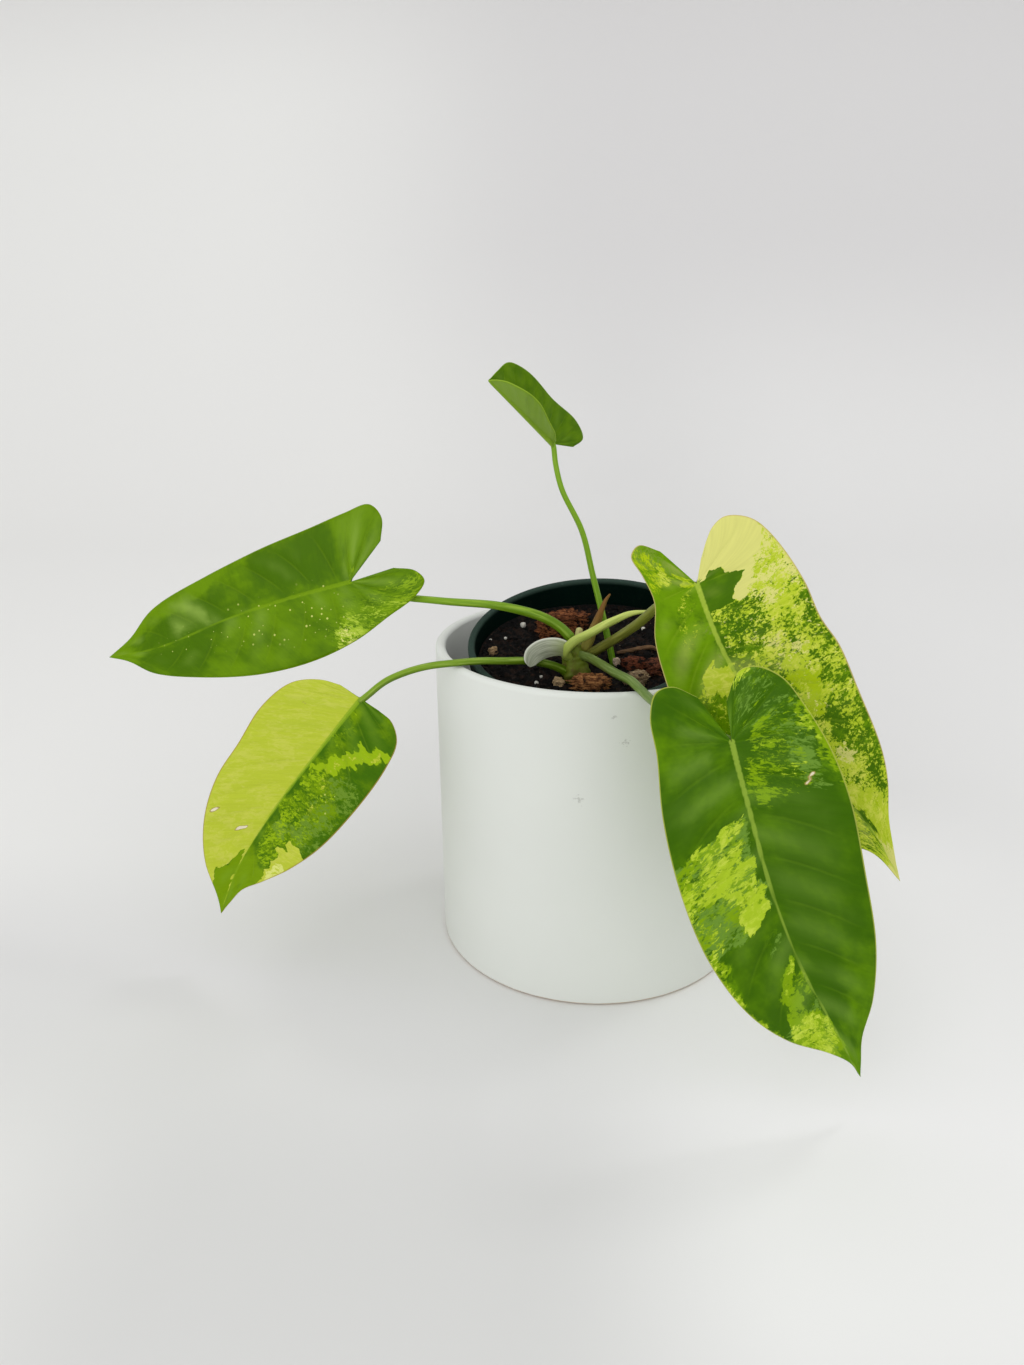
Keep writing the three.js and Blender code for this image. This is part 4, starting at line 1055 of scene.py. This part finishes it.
def blade_points(leaf, share, across, flat, lift):
    """Bends points of the flattened blade into space."""
    points, axes = blade_stations(leaf)
    place = np.maximum(flat[:, 1], 0) / STATION_GAP
    index = np.minimum(place.astype(int), len(points) - 2)
    part = (place - index)[:, None]
    centre = points[index] * (1 - part) + points[index + 1] * part
    axis = axes[index] * (1 - part[..., None]) + axes[index + 1] * part[..., None]
    fold = np.where(flat[:, 0] > 0, leaf["fold"][0], leaf["fold"][1])
    phase = share * leaf["waves"] * math.tau + np.where(across > 0, 0, 1.3)
    edge = np.maximum(0, np.abs(across) - 0.4) / 0.6
    wave = 0.5 * edge * np.sin(math.pi * share) * np.sin(phase)
    rise = np.abs(flat[:, 0]) * np.sin(fold) + wave + lift
    run = flat[:, 0] * np.cos(fold)
    back = np.minimum(flat[:, 1], 0)
    return (
        centre + axis[..., 0] * run[:, None] + axis[..., 1] * back[:, None]
        + axis[..., 2] * rise[:, None]
    )


def mark_spots(share, across):
    """Spots of the flattened blade on the marks' scale, in millimetres."""
    return np.stack([share * MARK_LENGTH, across * MARK_WIDTH], 1)


def uneven(share, across, seed):
    """Spots of the blade in millimetres, each pushed a little so that borders are ragged."""
    pushed = []
    for spot in mark_spots(share, across):
        place = Vector((spot[0] * 0.2, spot[1] * 0.13, seed * 5.0))
        push = noise.noise_vector(place) * BROAD_PUSH
        push += noise.noise_vector(place * FINE_PUSH_SCALE) * FINE_PUSH
        pushed.append((spot[0] + push.x, spot[1] + push.y * SIDEWAYS_PUSH))
    return np.array(pushed)


def region_cover(spots, corners, softness):
    """How far each spot lies inside a region: 0 outside, 1 inside, soft at the border."""
    corners = np.array(corners, float) * np.array([MARK_LENGTH, MARK_WIDTH])
    nearest = np.full(len(spots), 1e9)
    inside = np.zeros(len(spots), bool)
    for start, end in zip(corners, np.roll(corners, -1, axis=0)):
        side = end - start
        offset = spots - start
        part = np.clip(offset @ side / (side @ side), 0, 1)
        nearest = np.minimum(nearest, np.linalg.norm(offset - part[:, None] * side, axis=1))
        crosses = (start[1] > spots[:, 1]) != (end[1] > spots[:, 1])
        rise = side[1] if side[1] else 1e-9
        meets = spots[:, 0] < start[0] + (spots[:, 1] - start[1]) / rise * side[0]
        inside ^= crosses & meets
    depth = np.where(inside, nearest, -nearest)
    return ease(depth, -softness / 2, softness / 2)


def blade(name, leaf, marks, material, seed):
    layers = (
        "share", "across", "flow", "from_rib", "vein", "upper", "light", "grey", "sap", "lime",
        "cream", "speck", "scar", "sheen",
    )
    bm, verts, row, column, made = grid(BLADE_ROWS, BLADE_HALF_COLUMNS * 2, layers)
    share = row ** ROW_CROWDING
    signed = column * 2 - 1
    across = np.sign(signed) * np.abs(signed) ** COLUMN_CROWDING
    travel = np.clip((share - leaf["fan"]) / (1 - leaf["fan"]), 0, 1) ** FAN_CROWDING
    midrib = smooth_line(leaf["midrib"], MIDRIB_POINTS)
    root = along(midrib, travel)
    right = along(smooth_line(leaf["right"], OUTLINE_POINTS), share)
    left = along(smooth_line(leaf["left"], OUTLINE_POINTS), share)
    end = np.where((across > 0)[:, None], right, left)
    flat = root + (end - root) * np.abs(across)[:, None]
    gaps = np.linalg.norm(flat[:, None, :] - midrib[None, ::3, :], axis=2)
    from_rib = gaps.min(axis=1)

    # The blade swells a little between its side veins
    sweep = VEIN_SWEEP * np.abs(across) ** 1.5 * ease(share, 0.15, 0.5)
    vein = (share - sweep) * VEIN_COUNT + np.where(across > 0, 0, 0.5)
    swell = np.abs(np.sin(math.pi * vein)) ** 0.8
    window = np.clip(from_rib / 14, 0, 1) * ease(np.abs(across), 1, 0.75) * ease(share, 0, 0.12)
    lift = leaf["quilt"] * (swell - 0.5) * window
    flow = share + np.where(across > 0, leaf["lean"][0], leaf["lean"][1]) * np.abs(across)
    move(verts, blade_points(leaf, share, across, flat, lift) * MM)

    calm = mark_spots(share, across)
    ragged = uneven(share, across, seed)
    fields = {key: np.zeros(len(verts)) for key in ("light", "speck", "scar", "sheen")}
    for layer in ("grey", "sap", "lime", "cream"):
        fields[layer] = np.full(len(verts), NONE)
    for layer, strength, softness, corners in marks:
        cover = region_cover(calm if softness <= 1 else ragged, corners, softness)
        fields[layer] = fields[layer] * (1 - cover) + strength * cover
    fields.update(share=share, across=across, flow=flow, from_rib=from_rib, vein=vein)
    for key, values in fields.items():
        layer = made[key]
        for vert, value in zip(verts, values):
            vert[layer] = value

    draw_together(bm, verts, (share <= leaf["fan"]) & (np.abs(across) < TINY))
    draw_together(bm, verts, share > 1 - TINY)
    bmesh.ops.recalc_face_normals(bm, faces=bm.faces)
    if sum(face.normal.dot(Vector(leaf["up"])) for face in bm.faces) < 0:
        bmesh.ops.reverse_faces(bm, faces=bm.faces)

    # The skin thins at the margins and the tip, with the rib's groove above and the rib below
    def skin(vert):
        edge = max(0, abs(vert[made["across"]]) - EDGE_START) / (1 - EDGE_START)
        tip = max(0, vert[made["share"]] - TIP_START) / (1 - TIP_START)
        return BLADE_SKIN * (1 - EDGE_THINNING * max(edge, tip))

    def above(vert):
        near = max(0, 1 - vert[made["from_rib"]] / RIB_GROOVE_WIDTH)
        return skin(vert) - RIB_GROOVE_DEPTH * near

    def below(vert):
        taper = RIB_TAPER * max(0, vert[made["share"]] - leaf["fan"])
        near = min(1, vert[made["from_rib"]] / (RIB_WIDTH - taper))
        return skin(vert) + (RIB_HEIGHT - taper) * math.sqrt(1 - near ** 2)

    thicken(bm, above, below)
    return object_from(bm, name, material)


# The colours of each blade, in the order of the shades. "gloss" is the colour of its painted
# highlights
SHADES = (
    "dark", "mid", "grey", "sap", "lime", "bright", "cream", "vein",
    "rib", "edge", "gloss", "under",
)
PALETTES = {
    "upper_left": [
        (72, 110, 0), (104, 142, 2), (112, 148, 40), (134, 168, 20), (154, 186, 40),
        (182, 204, 70), (218, 222, 122), (120, 156, 14), (120, 156, 12), (120, 150, 20),
        (150, 180, 78), (128, 152, 80),
    ],
    "lower_left": [
        (62, 104, 0), (114, 148, 0), (106, 140, 40), (146, 178, 14), (181, 194, 54),
        (193, 200, 78), (214, 220, 120), (124, 160, 30), (132, 166, 30), (176, 150, 70),
        (126, 162, 44), (140, 160, 84),
    ],
    "small_upright": [
        (68, 106, 0), (94, 130, 4), (116, 146, 60), (134, 166, 30), (150, 182, 50),
        (170, 196, 80), (206, 214, 120), (112, 146, 24), (130, 162, 50), (150, 176, 50),
        (120, 152, 50), (156, 190, 66),
    ],
    "right_back": [
        (68, 108, 0), (108, 150, 2), (118, 148, 44), (170, 194, 16), (182, 202, 44),
        (212, 218, 88), (217, 216, 124), (150, 180, 40), (170, 194, 66), (206, 186, 116),
        (200, 208, 110), (150, 168, 90),
    ],
    "right_front": [
        (58, 98, 0), (94, 136, 0), (104, 142, 46), (126, 162, 6), (166, 194, 38),
        (196, 214, 74), (212, 220, 104), (106, 146, 20), (146, 174, 60), (184, 192, 84),
        (124, 158, 64), (126, 152, 74),
    ],
}

for seed, (leaf_name, leaf) in enumerate(LEAVES.items(), 1):
    palette = {shade: tint(*rgb) for shade, rgb in zip(SHADES, PALETTES[leaf_name])}
    finish = blade_finish("leaf_" + leaf_name, palette, leaf["grain"], seed)
    piece = blade("leaf_blade_" + leaf_name, leaf, MARKS[leaf_name], finish, seed)
    show(piece, "blade_" + leaf_name)


# Stalks, crown and sheaths

# Each stalk's colours at its base, at its tip and in its streaks, and how shaded its belly is
STALKS = {
    "upper_left": ([(94, 130, 14), (122, 162, 26), (158, 188, 62)], 0.35),
    "lower_left": ([(78, 108, 8), (118, 152, 30), (160, 184, 84)], 0.8),
    "small_upright": ([(86, 128, 12), (118, 160, 24), (148, 184, 60)], 0.35),
    "right_back": ([(88, 90, 30), (118, 126, 44), (142, 144, 66)], 0.35),
    "right_front": ([(92, 112, 44), (106, 134, 60), (146, 166, 100)], 0.8),
}
for leaf_name, leaf in LEAVES.items():
    colours, shaded = STALKS[leaf_name]
    finish = stem_finish("stalk_" + leaf_name, colours, shaded=shaded)
    piece = stem(
        "leaf_stalk_" + leaf_name, leaf["petiole"], leaf["petiole_radii"], finish, ridge=0.035,
    )
    show(piece, "petiole_" + leaf_name)

finish = stem_finish("crown_green", [(62, 68, 16), (98, 114, 24), (84, 66, 30)], (0.35, 1.6), 0.5)
piece = stem(
    "plant_crown", CROWN_AXIS, CROWN_RADII, finish, around=48, spacing=0.5, ridge=0.08, knobs=0.9,
)
show(piece, "crown")

finish = stem_finish("pale_stub", [(150, 150, 84), (190, 184, 120), (120, 104, 60)], gloss=0.5)
piece = stem("old_stub", STALK_STUB, STALK_STUB_RADII, finish, spacing=0.4, ridge=0.05)
show(piece, "stalk_stub")

finish = stem_finish("spear_green", [(158, 174, 78), (200, 212, 112), (146, 168, 66)])
piece = stem("spear", PALE_SHEATH, PALE_SHEATH_RADII, finish, spacing=0.5, ridge=0.05, ridges=3)
show(piece, "sheath_pale")

finish = stem_finish("dry_brown", [(132, 128, 52), (120, 84, 36), (84, 56, 26)], gloss=0.6)
piece = stem(
    "dry_spear", BROWN_SHEATH, BROWN_SHEATH_RADII, finish, spacing=0.5, ridge=0.08, ridges=4,
)
show(piece, "sheath_brown")


def white_sheath():
    bm, verts, share, across, made = grid(60, 26, ("share", "across", "upper"))
    top = along(smooth_line(WHITE_SHEATH_TOP, STEM_POINTS), share)
    low = along(smooth_line(WHITE_SHEATH_LOW, STEM_POINTS), share)
    bulge = np.sin(math.pi * across) * np.sin(math.pi * np.minimum(1, share + 0.25))
    points = top + (low - top) * across[:, None] + np.array(WHITE_SHEATH_BULGE) * bulge[:, None]
    move(verts, points * MM)
    for vert, along_it, across_it in zip(verts, share, across):
        vert[made["share"]] = along_it
        vert[made["across"]] = across_it
    bmesh.ops.recalc_face_normals(bm, faces=bm.faces)
    thicken(bm, lambda vert: 0.3, lambda vert: 0.3)
    return object_from(bm, "papery_sheath", white_sheath_finish())


show(white_sheath(), "sheath_white")


# The two pots and the soil

def cachepot():
    outer = CACHEPOT_RADIUS
    inner = outer - CACHEPOT_WALL
    foot = outer - CACHEPOT_FOOT_WIDTH
    low_edge = CACHEPOT_FOOT_EDGE
    lip_edge = CACHEPOT_LIP_EDGE
    lip_height = CACHEPOT_HEIGHT - lip_edge
    bend = CACHEPOT_INNER_CORNER
    profile = [(0, CACHEPOT_FOOT_RISE), (foot - 1, CACHEPOT_FOOT_RISE), (foot, 0)]
    profile += corner((outer - low_edge, low_edge), low_edge, -90, 0)
    profile += [(outer, 40), (outer, 90)]
    profile += corner((outer - lip_edge, lip_height), lip_edge, 0, 90, 8)
    profile += corner((inner + lip_edge, lip_height), lip_edge, 90, 180, 8)
    profile += [(inner, 80)]
    profile += corner((inner - bend, CACHEPOT_FLOOR + bend), bend, 0, -90, 8)
    profile += [(0, CACHEPOT_FLOOR)]
    bm = spun(profile, CACHEPOT_SIDES)
    bmesh.ops.recalc_face_normals(bm, faces=bm.faces)
    return object_from(bm, "white_cachepot", glaze_finish())


def pot_inner_radius(height):
    """The inside of the pot's wall, with heights below the rim's top negative."""
    share = (height + POT_DEPTH) / (POT_DEPTH - POT_LIP_HEIGHT)
    return POT_BASE_RADIUS + (POT_WALL_TOP_RADIUS - POT_BASE_RADIUS) * share - POT_WALL


def nursery_pot():
    lip = POT_RIM_RADIUS
    lip_inner = lip - POT_LIP_WIDTH
    floor = POT_FLOOR - POT_DEPTH
    profile = [(POT_BASE_RADIUS, -POT_DEPTH), (POT_WALL_TOP_RADIUS, -POT_LIP_HEIGHT)]
    low_edge = POT_LIP_LOW_EDGE
    edge = POT_LIP_EDGE
    profile += corner((lip - low_edge, low_edge - POT_LIP_HEIGHT), low_edge, -90, 0, 4)
    profile += [(lip, -POT_LIP_HIGHLIGHT_END)]
    profile += corner((lip - edge, -edge), edge, 0, 90, 5)
    profile += corner((lip_inner + edge, -edge), edge, 90, 180, 5)
    profile += [(lip_inner, -POT_LIP_HIGHLIGHT_END), (lip_inner, -POT_LIP_HEIGHT)]
    profile += [(pot_inner_radius(floor), floor)]
    bm = spun(profile, POT_SIDES)
    # The top band of the lip is marked for a painted highlight
    wear_and_highlight = bm.verts.layers.float.new("wear_and_highlight")
    for vert in bm.verts:
        vert[wear_and_highlight] = 1 if vert.co.z > -POT_LIP_HIGHLIGHT_DEPTH * MM else 0

    # The underside and the floor are filled around the drain holes
    rims = {True: [], False: []}
    for rim in bm.edges:
        if rim.is_boundary:
            rims[rim.verts[0].co.z < (floor - POT_FLOOR / 2) * MM].append(rim)
    for i in range(DRAIN_HOLES):
        angle = i / DRAIN_HOLES * math.tau
        spot = Vector((math.cos(angle), math.sin(angle), 0)) * DRAIN_HOLE_CIRCLE
        loops = []
        for low, height in ((True, -POT_DEPTH), (False, floor)):
            place = Matrix.Translation(Vector((spot.x, spot.y, height)) * MM)
            ring = bmesh.ops.create_circle(
                bm, cap_ends=False, radius=DRAIN_HOLE_RADIUS * MM, segments=28, matrix=place,
            )["verts"]
            edges = list({edge for vert in ring for edge in vert.link_edges})
            rims[low] += edges
            loops += edges
        bmesh.ops.bridge_loops(bm, edges=loops)
    for edges in rims.values():
        bmesh.ops.triangle_fill(bm, use_beauty=True, edges=edges)
    bmesh.ops.recalc_face_normals(bm, faces=bm.faces)
    bmesh.ops.transform(bm, matrix=placed_in_pot(), verts=bm.verts)
    return object_from(bm, "green_nursery_pot", plastic_finish())


def placed_in_pot():
    """The leaning pot's place, for meshes in metres."""
    place = POT_PLACE.copy()
    place.translation = POT_RIM_CENTRE * MM
    return place


def to_pot(points):
    """Points of the object's frame in the leaning pot's, in millimetres."""
    inverse = POT_PLACE.inverted()
    return [inverse @ Vector(point) for point in points]


def soil_rise(x, y):
    """The slow rise and fall of the mix, and its heap to the left."""
    radius = np.hypot(x, y)
    fade = np.clip((pot_inner_radius(-SOIL_DROP) - radius) / 8, 0, 1)
    wave = np.sin(0.42 * x + 1.3) * np.cos(0.36 * y + 0.4) + np.sin(0.8 * x + 0.6 * y)
    return SOIL_LUMP * fade * wave + SOIL_HEAP_SLOPE * np.maximum(0, SOIL_HEAP_START - x)


def soil_top(x, y):
    """The soil's height with its fine lumps, before anything is set into it."""
    radius = np.hypot(x, y)
    fade = np.clip((pot_inner_radius(-SOIL_DROP) - radius) / 3, 0, 1)
    lumps = np.array([
        noise.fractal(Vector((a * 0.45, b * 0.45, 3)), 0.6, 2.0, 5) for a, b in zip(x, y)
    ])
    return -SOIL_DROP + soil_rise(x, y) + fade * (lumps * SOIL_CRUMB - SOIL_CRUMB_SINK)


def stem_wells():
    """Holes that the stems stand in: points of each axis with its radius."""
    wells = []
    small = LEAVES["small_upright"]
    for axis, radii in ((CROWN_AXIS, CROWN_RADII), (small["petiole"], small["petiole_radii"])):
        line = smooth_line(axis, 120)
        widths = np.interp(np.linspace(0, 1, 120), np.linspace(0, 1, len(radii)), radii)
        for spot, width in zip(to_pot(line), widths):
            if spot.z < -SOIL_DROP + 3:
                wells.append((spot.x, spot.y, spot.z, width + 0.35))
    return wells


def soil():
    bm, verts, row, column, made = grid(SOIL_CELLS, SOIL_CELLS, ("perlite",))
    square_x = column * 2 - 1
    square_y = row * 2 - 1
    brim = pot_inner_radius(-SOIL_DROP) - PIECE_GAP
    x = square_x * np.sqrt(1 - square_y ** 2 / 2) * brim
    y = square_y * np.sqrt(1 - square_x ** 2 / 2) * brim
    z = soil_top(x, y)

    # It makes room for the chips, the stones and the stems
    for _, place, size, lift, turn, _ in BARK + PEBBLES:
        cos = math.cos(turn)
        sin = math.sin(turn)
        dx = x - place[0]
        dy = y - place[1]
        u = (dx * cos + dy * sin) / (size[0] / 2 + 0.6)
        v = (dy * cos - dx * sin) / (size[1] / 2 + 0.6)
        reach = np.clip(1 - u ** 2 - v ** 2, 0, 1)
        deepest = lift - SOIL_DROP - size[2] / 2
        under = lift - SOIL_DROP - size[2] / 2 * np.sqrt(reach) - PIECE_GAP
        z = np.where(reach > 0, np.minimum(z, np.maximum(under, deepest)), z)
    wells = stem_wells()
    for well_x, well_y, well_z, width in wells:
        near = np.hypot(x - well_x, y - well_y) < width
        z = np.where(near, np.minimum(z, well_z - SOIL_WELL_DEPTH), z)
    move(verts, np.stack([x, y, z], 1) * MM)
    bmesh.ops.recalc_face_normals(bm, faces=bm.faces)
    rim = [edge for edge in bm.edges if edge.is_boundary]
    low = bmesh.ops.extrude_edge_only(bm, edges=rim)["geom"]
    bottom = POT_FLOOR + PIECE_GAP - POT_DEPTH
    narrow = (pot_inner_radius(bottom) - PIECE_GAP) / brim
    for item in low:
        if isinstance(item, bmesh.types.BMVert):
            item.co = (item.co.x * narrow, item.co.y * narrow, bottom * MM)
    base = [edge for edge in bm.edges if edge.is_boundary]
    bmesh.ops.edgeloop_fill(bm, edges=base)
    bmesh.ops.recalc_face_normals(bm, faces=bm.faces)

    chance = random.Random(11)
    for x, y, size in PERLITE:
        height = float(soil_top(np.array([x]), np.array([y]))[0])
        place = Matrix.Translation(Vector((x, y, height + size * 0.3)) * MM)
        grain = bmesh.ops.create_icosphere(bm, subdivisions=2, radius=size * MM, matrix=place)
        for vert in grain["verts"]:
            vert.co += vert.normal * chance.uniform(-0.12, 0.12) * size * MM
            vert[made["perlite"]] = 1
    for _ in range(SOIL_GRAINS):
        angle = chance.uniform(0, math.tau)
        reach = math.sqrt(chance.random()) * (brim - 1.5)
        x = reach * math.cos(angle)
        y = reach * math.sin(angle)
        if any(math.hypot(x - a, y - b) < width + 1 for a, b, _, width in wells[::8]):
            continue
        size = chance.uniform(0.3, 1.0)
        height = float(soil_top(np.array([x]), np.array([y]))[0])
        place = (
            Matrix.Translation(Vector((x, y, height + size * 0.25)) * MM)
            @ Matrix.Rotation(chance.uniform(0, math.tau), 4, "Z")
            @ Matrix.Rotation(chance.uniform(-0.6, 0.6), 4, "X")
            @ Matrix.Diagonal((chance.uniform(0.8, 1.9), 1, chance.uniform(0.5, 0.9), 1))
        )
        grain = bmesh.ops.create_icosphere(bm, subdivisions=1, radius=size * MM, matrix=place)
        white = 1 if chance.random() < 0.03 and size < 0.6 else 0
        for vert in grain["verts"]:
            vert[made["perlite"]] = white
    bmesh.ops.transform(bm, matrix=placed_in_pot(), verts=bm.verts)
    return object_from(bm, "potting_mix", soil_finish())


def lump(name, place, size, lift, turn, seed, finish, rough, fibre, uneven_by, frayed):
    """A ball squared off to a chip of bark or a stone, with a broken surface and frayed ends."""
    bm = bmesh.new()
    bmesh.ops.create_icosphere(bm, subdivisions=5, radius=1)
    shift = Vector((seed * 7.3, seed * 3.1, seed * 1.7))
    for vert in bm.verts:
        ball = vert.co.copy()
        broad = 1 + uneven_by * noise.noise(ball * 1.3 + shift)
        threads = Vector((ball.x * fibre[0], ball.y * fibre[1], ball.z * fibre[2])) + shift
        spread = broad + rough * noise.fractal(threads, 0.7, 2.0, 5)
        ends = frayed * noise.noise(Vector((0, ball.y * 4, ball.z * 6)) + shift) * abs(ball.x)
        vert.co = [
            math.copysign(abs(value) ** LUMP_SQUARENESS, value) * half / 2 * spread
            for value, half in zip(ball, size)
        ]
        vert.co.x *= 1 + ends
    spot = Matrix.Translation((place[0], place[1], lift - SOIL_DROP))
    bmesh.ops.transform(bm, matrix=spot @ Matrix.Rotation(turn, 4, "Z"), verts=bm.verts)
    bmesh.ops.scale(bm, vec=(MM, MM, MM), verts=bm.verts)
    bmesh.ops.transform(bm, matrix=placed_in_pot(), verts=bm.verts)
    bmesh.ops.recalc_face_normals(bm, faces=bm.faces)
    return object_from(bm, name, finish)


show(cachepot(), "cachepot")
show(nursery_pot(), "nursery_pot")
show(soil(), "soil")

# The dark and the light colour of each chip and stone
BARK_COLOURS = {
    "bark_back": ((60, 28, 16), (168, 104, 64)),
    "bark_front": ((84, 44, 20), (196, 138, 86)),
    "bark_pale": ((140, 112, 84), (196, 172, 138)),
    "bark_right": ((70, 36, 24), (150, 84, 58)),
    "bark_far_right": ((66, 36, 26), (138, 82, 58)),
}
for name, place, size, lift, turn, seed in BARK:
    dark, light = BARK_COLOURS[name]
    finish = bark_finish(name + "_grain", tint(*dark), tint(*light))
    chip = "chip_" + name.removeprefix("bark_")
    piece = lump(chip, place, size, lift, turn, seed, finish, **BARK_SURFACE)
    show(piece, name)

STONE_COLOURS = {
    "pebble_front": ((120, 96, 66), (190, 164, 124)),
    "pebble_left": ((110, 84, 58), (176, 146, 106)),
    "pebble_behind": ((170, 144, 124), (220, 198, 178)),
}
for name, place, size, lift, turn, seed in PEBBLES:
    dark, light = STONE_COLOURS[name]
    finish = stone_finish(name + "_stone", tint(*dark), tint(*light))
    stone = "stone_" + name.removeprefix("pebble_")
    piece = lump(stone, place, size, lift, turn, seed, finish, **STONE_SURFACE)
    show(piece, name)

twig_line = [tuple(POT_PLACE @ Vector((x, y, TWIG_LIFT - SOIL_DROP))) for x, y in TWIG]
finish = stem_finish("twig_brown", [(96, 72, 50), (112, 84, 58), (60, 42, 30)], (0.3, 3), 0.75)
piece = stem("soil_twig", twig_line, TWIG_RADII, finish, around=20, spacing=0.4, knobs=0.35)
show(piece, "twig")


# The setting

def paper_finish():
    """Pale paper with painted light and shade, its brightness changing softly over the floor and
    the wall.
    """
    finish = Finish("studio_paper")
    spot = finish.place()
    x = finish.part(spot, "X")
    y = finish.part(spot, "Y")
    z = finish.part(spot, "Z")
    soft = finish.noise(spot, 0.004, 3)
    colour = finish.blend(soft, tint(226, 226, 225), tint(231, 231, 230))
    # Painted light and shade over the floor: darker towards the front, lighter to the left and to
    # the right
    colour = finish.coat(colour, tint(226, 226, 225), finish.step(y, 40, -90))
    near = finish.step(y, -90, -190)
    colour = finish.coat(colour, tint(219, 219, 218), near)
    near_left = finish.times(near, finish.step(x, -130, -230))
    colour = finish.coat(colour, tint(233, 233, 231), near_left)
    left = finish.times(finish.step(x, 60, -420), finish.step(y, -60, 60))
    colour = finish.coat(colour, tint(239, 239, 237), left)
    colour = finish.coat(colour, tint(235, 235, 234), finish.step(x, 40, 340))
    # A painted pool of light beside the right-hand leaves, where their shadow falls
    light_pool_by_leaf = finish.times(
        finish.step(x, -20, 70), finish.step(x, 280, 150), finish.step(y, -310, -200),
        finish.step(y, 160, 40),
    )
    colour = finish.coat(colour, tint(243, 243, 242), light_pool_by_leaf)
    # Painted shade: the wall darkens upwards, most of all at the top
    wall = finish.times(finish.step(z, 20, 420), finish.step(x, -700, 100))
    colour = finish.coat(colour, tint(222, 221, 221), wall)
    colour = finish.coat(colour, tint(213, 211, 211), finish.step(z, 600, 1150))
    return finish.lay(colour, 0.85, 0.1)


def backdrop():
    """A floor that runs up into a wall, just under the cachepot's foot."""
    bm = bmesh.new()
    profile = [(-1.6, 0), (0.8, 0)]
    profile += corner((0.8, 0.9), 0.9, -90, 0, 16)[1:]
    profile += [(1.7, 2.6)]
    verts = [bm.verts.new((-BACKDROP_REACH, y, z - BACKDROP_DROP)) for y, z in profile]
    edges = [bm.edges.new(pair) for pair in zip(verts, verts[1:])]
    swept = bmesh.ops.extrude_edge_only(bm, edges=edges)["geom"]
    moved = [item for item in swept if isinstance(item, bmesh.types.BMVert)]
    bmesh.ops.translate(bm, vec=(2 * BACKDROP_REACH, 0, 0), verts=moved)
    bmesh.ops.recalc_face_normals(bm, faces=bm.faces)
    bm.normal_update()
    if bm.faces[:][0].normal.z < 0:
        bmesh.ops.reverse_faces(bm, faces=bm.faces)
    return object_from(bm, "backdrop", paper_finish())


backdrop()

scene = bpy.context.scene
scene.view_settings.view_transform = "Standard"

world = bpy.data.worlds.new("studio")
world.use_nodes = True
air = world.node_tree.nodes["Background"].inputs
air["Color"].default_value = (1, 1, 1, 1)
air["Strength"].default_value = 0.86
scene.world = world


def soft_light(name, place, size, power):
    """A round lamp that faces the cachepot."""
    lamp = bpy.data.lights.new(name, "AREA")
    lamp.shape = "DISK"
    lamp.size = size
    lamp.energy = power
    made = bpy.data.objects.new(name, lamp)
    spot = Vector(place)
    aim = (LIGHT_TARGET - spot).to_track_quat("-Z", "Y")
    made.matrix_world = Matrix.Translation(spot) @ aim.to_matrix().to_4x4()
    scene.collection.objects.link(made)


soft_light("key", (0.85, 0.62, 1.9), 0.32, 2.8)
soft_light("front_fill", (-0.5, -1.4, 0.75), 1.3, 5.5)

lens = bpy.data.cameras.new("camera")
lens.sensor_width = 36
lens.lens = 27.06
lens.clip_start = 0.01
camera = bpy.data.objects.new("camera", lens)
camera.matrix_world = Matrix((
    (0.99669801, -0.01844957, 0.079074, 0),
    (0.08058573, 0.34410853, -0.93546527, -0.433454),
    (-0.0099511, 0.9387486, 0.34445905, 0.279226),
    (0, 0, 0, 1),
))
scene.collection.objects.link(camera)
scene.camera = camera
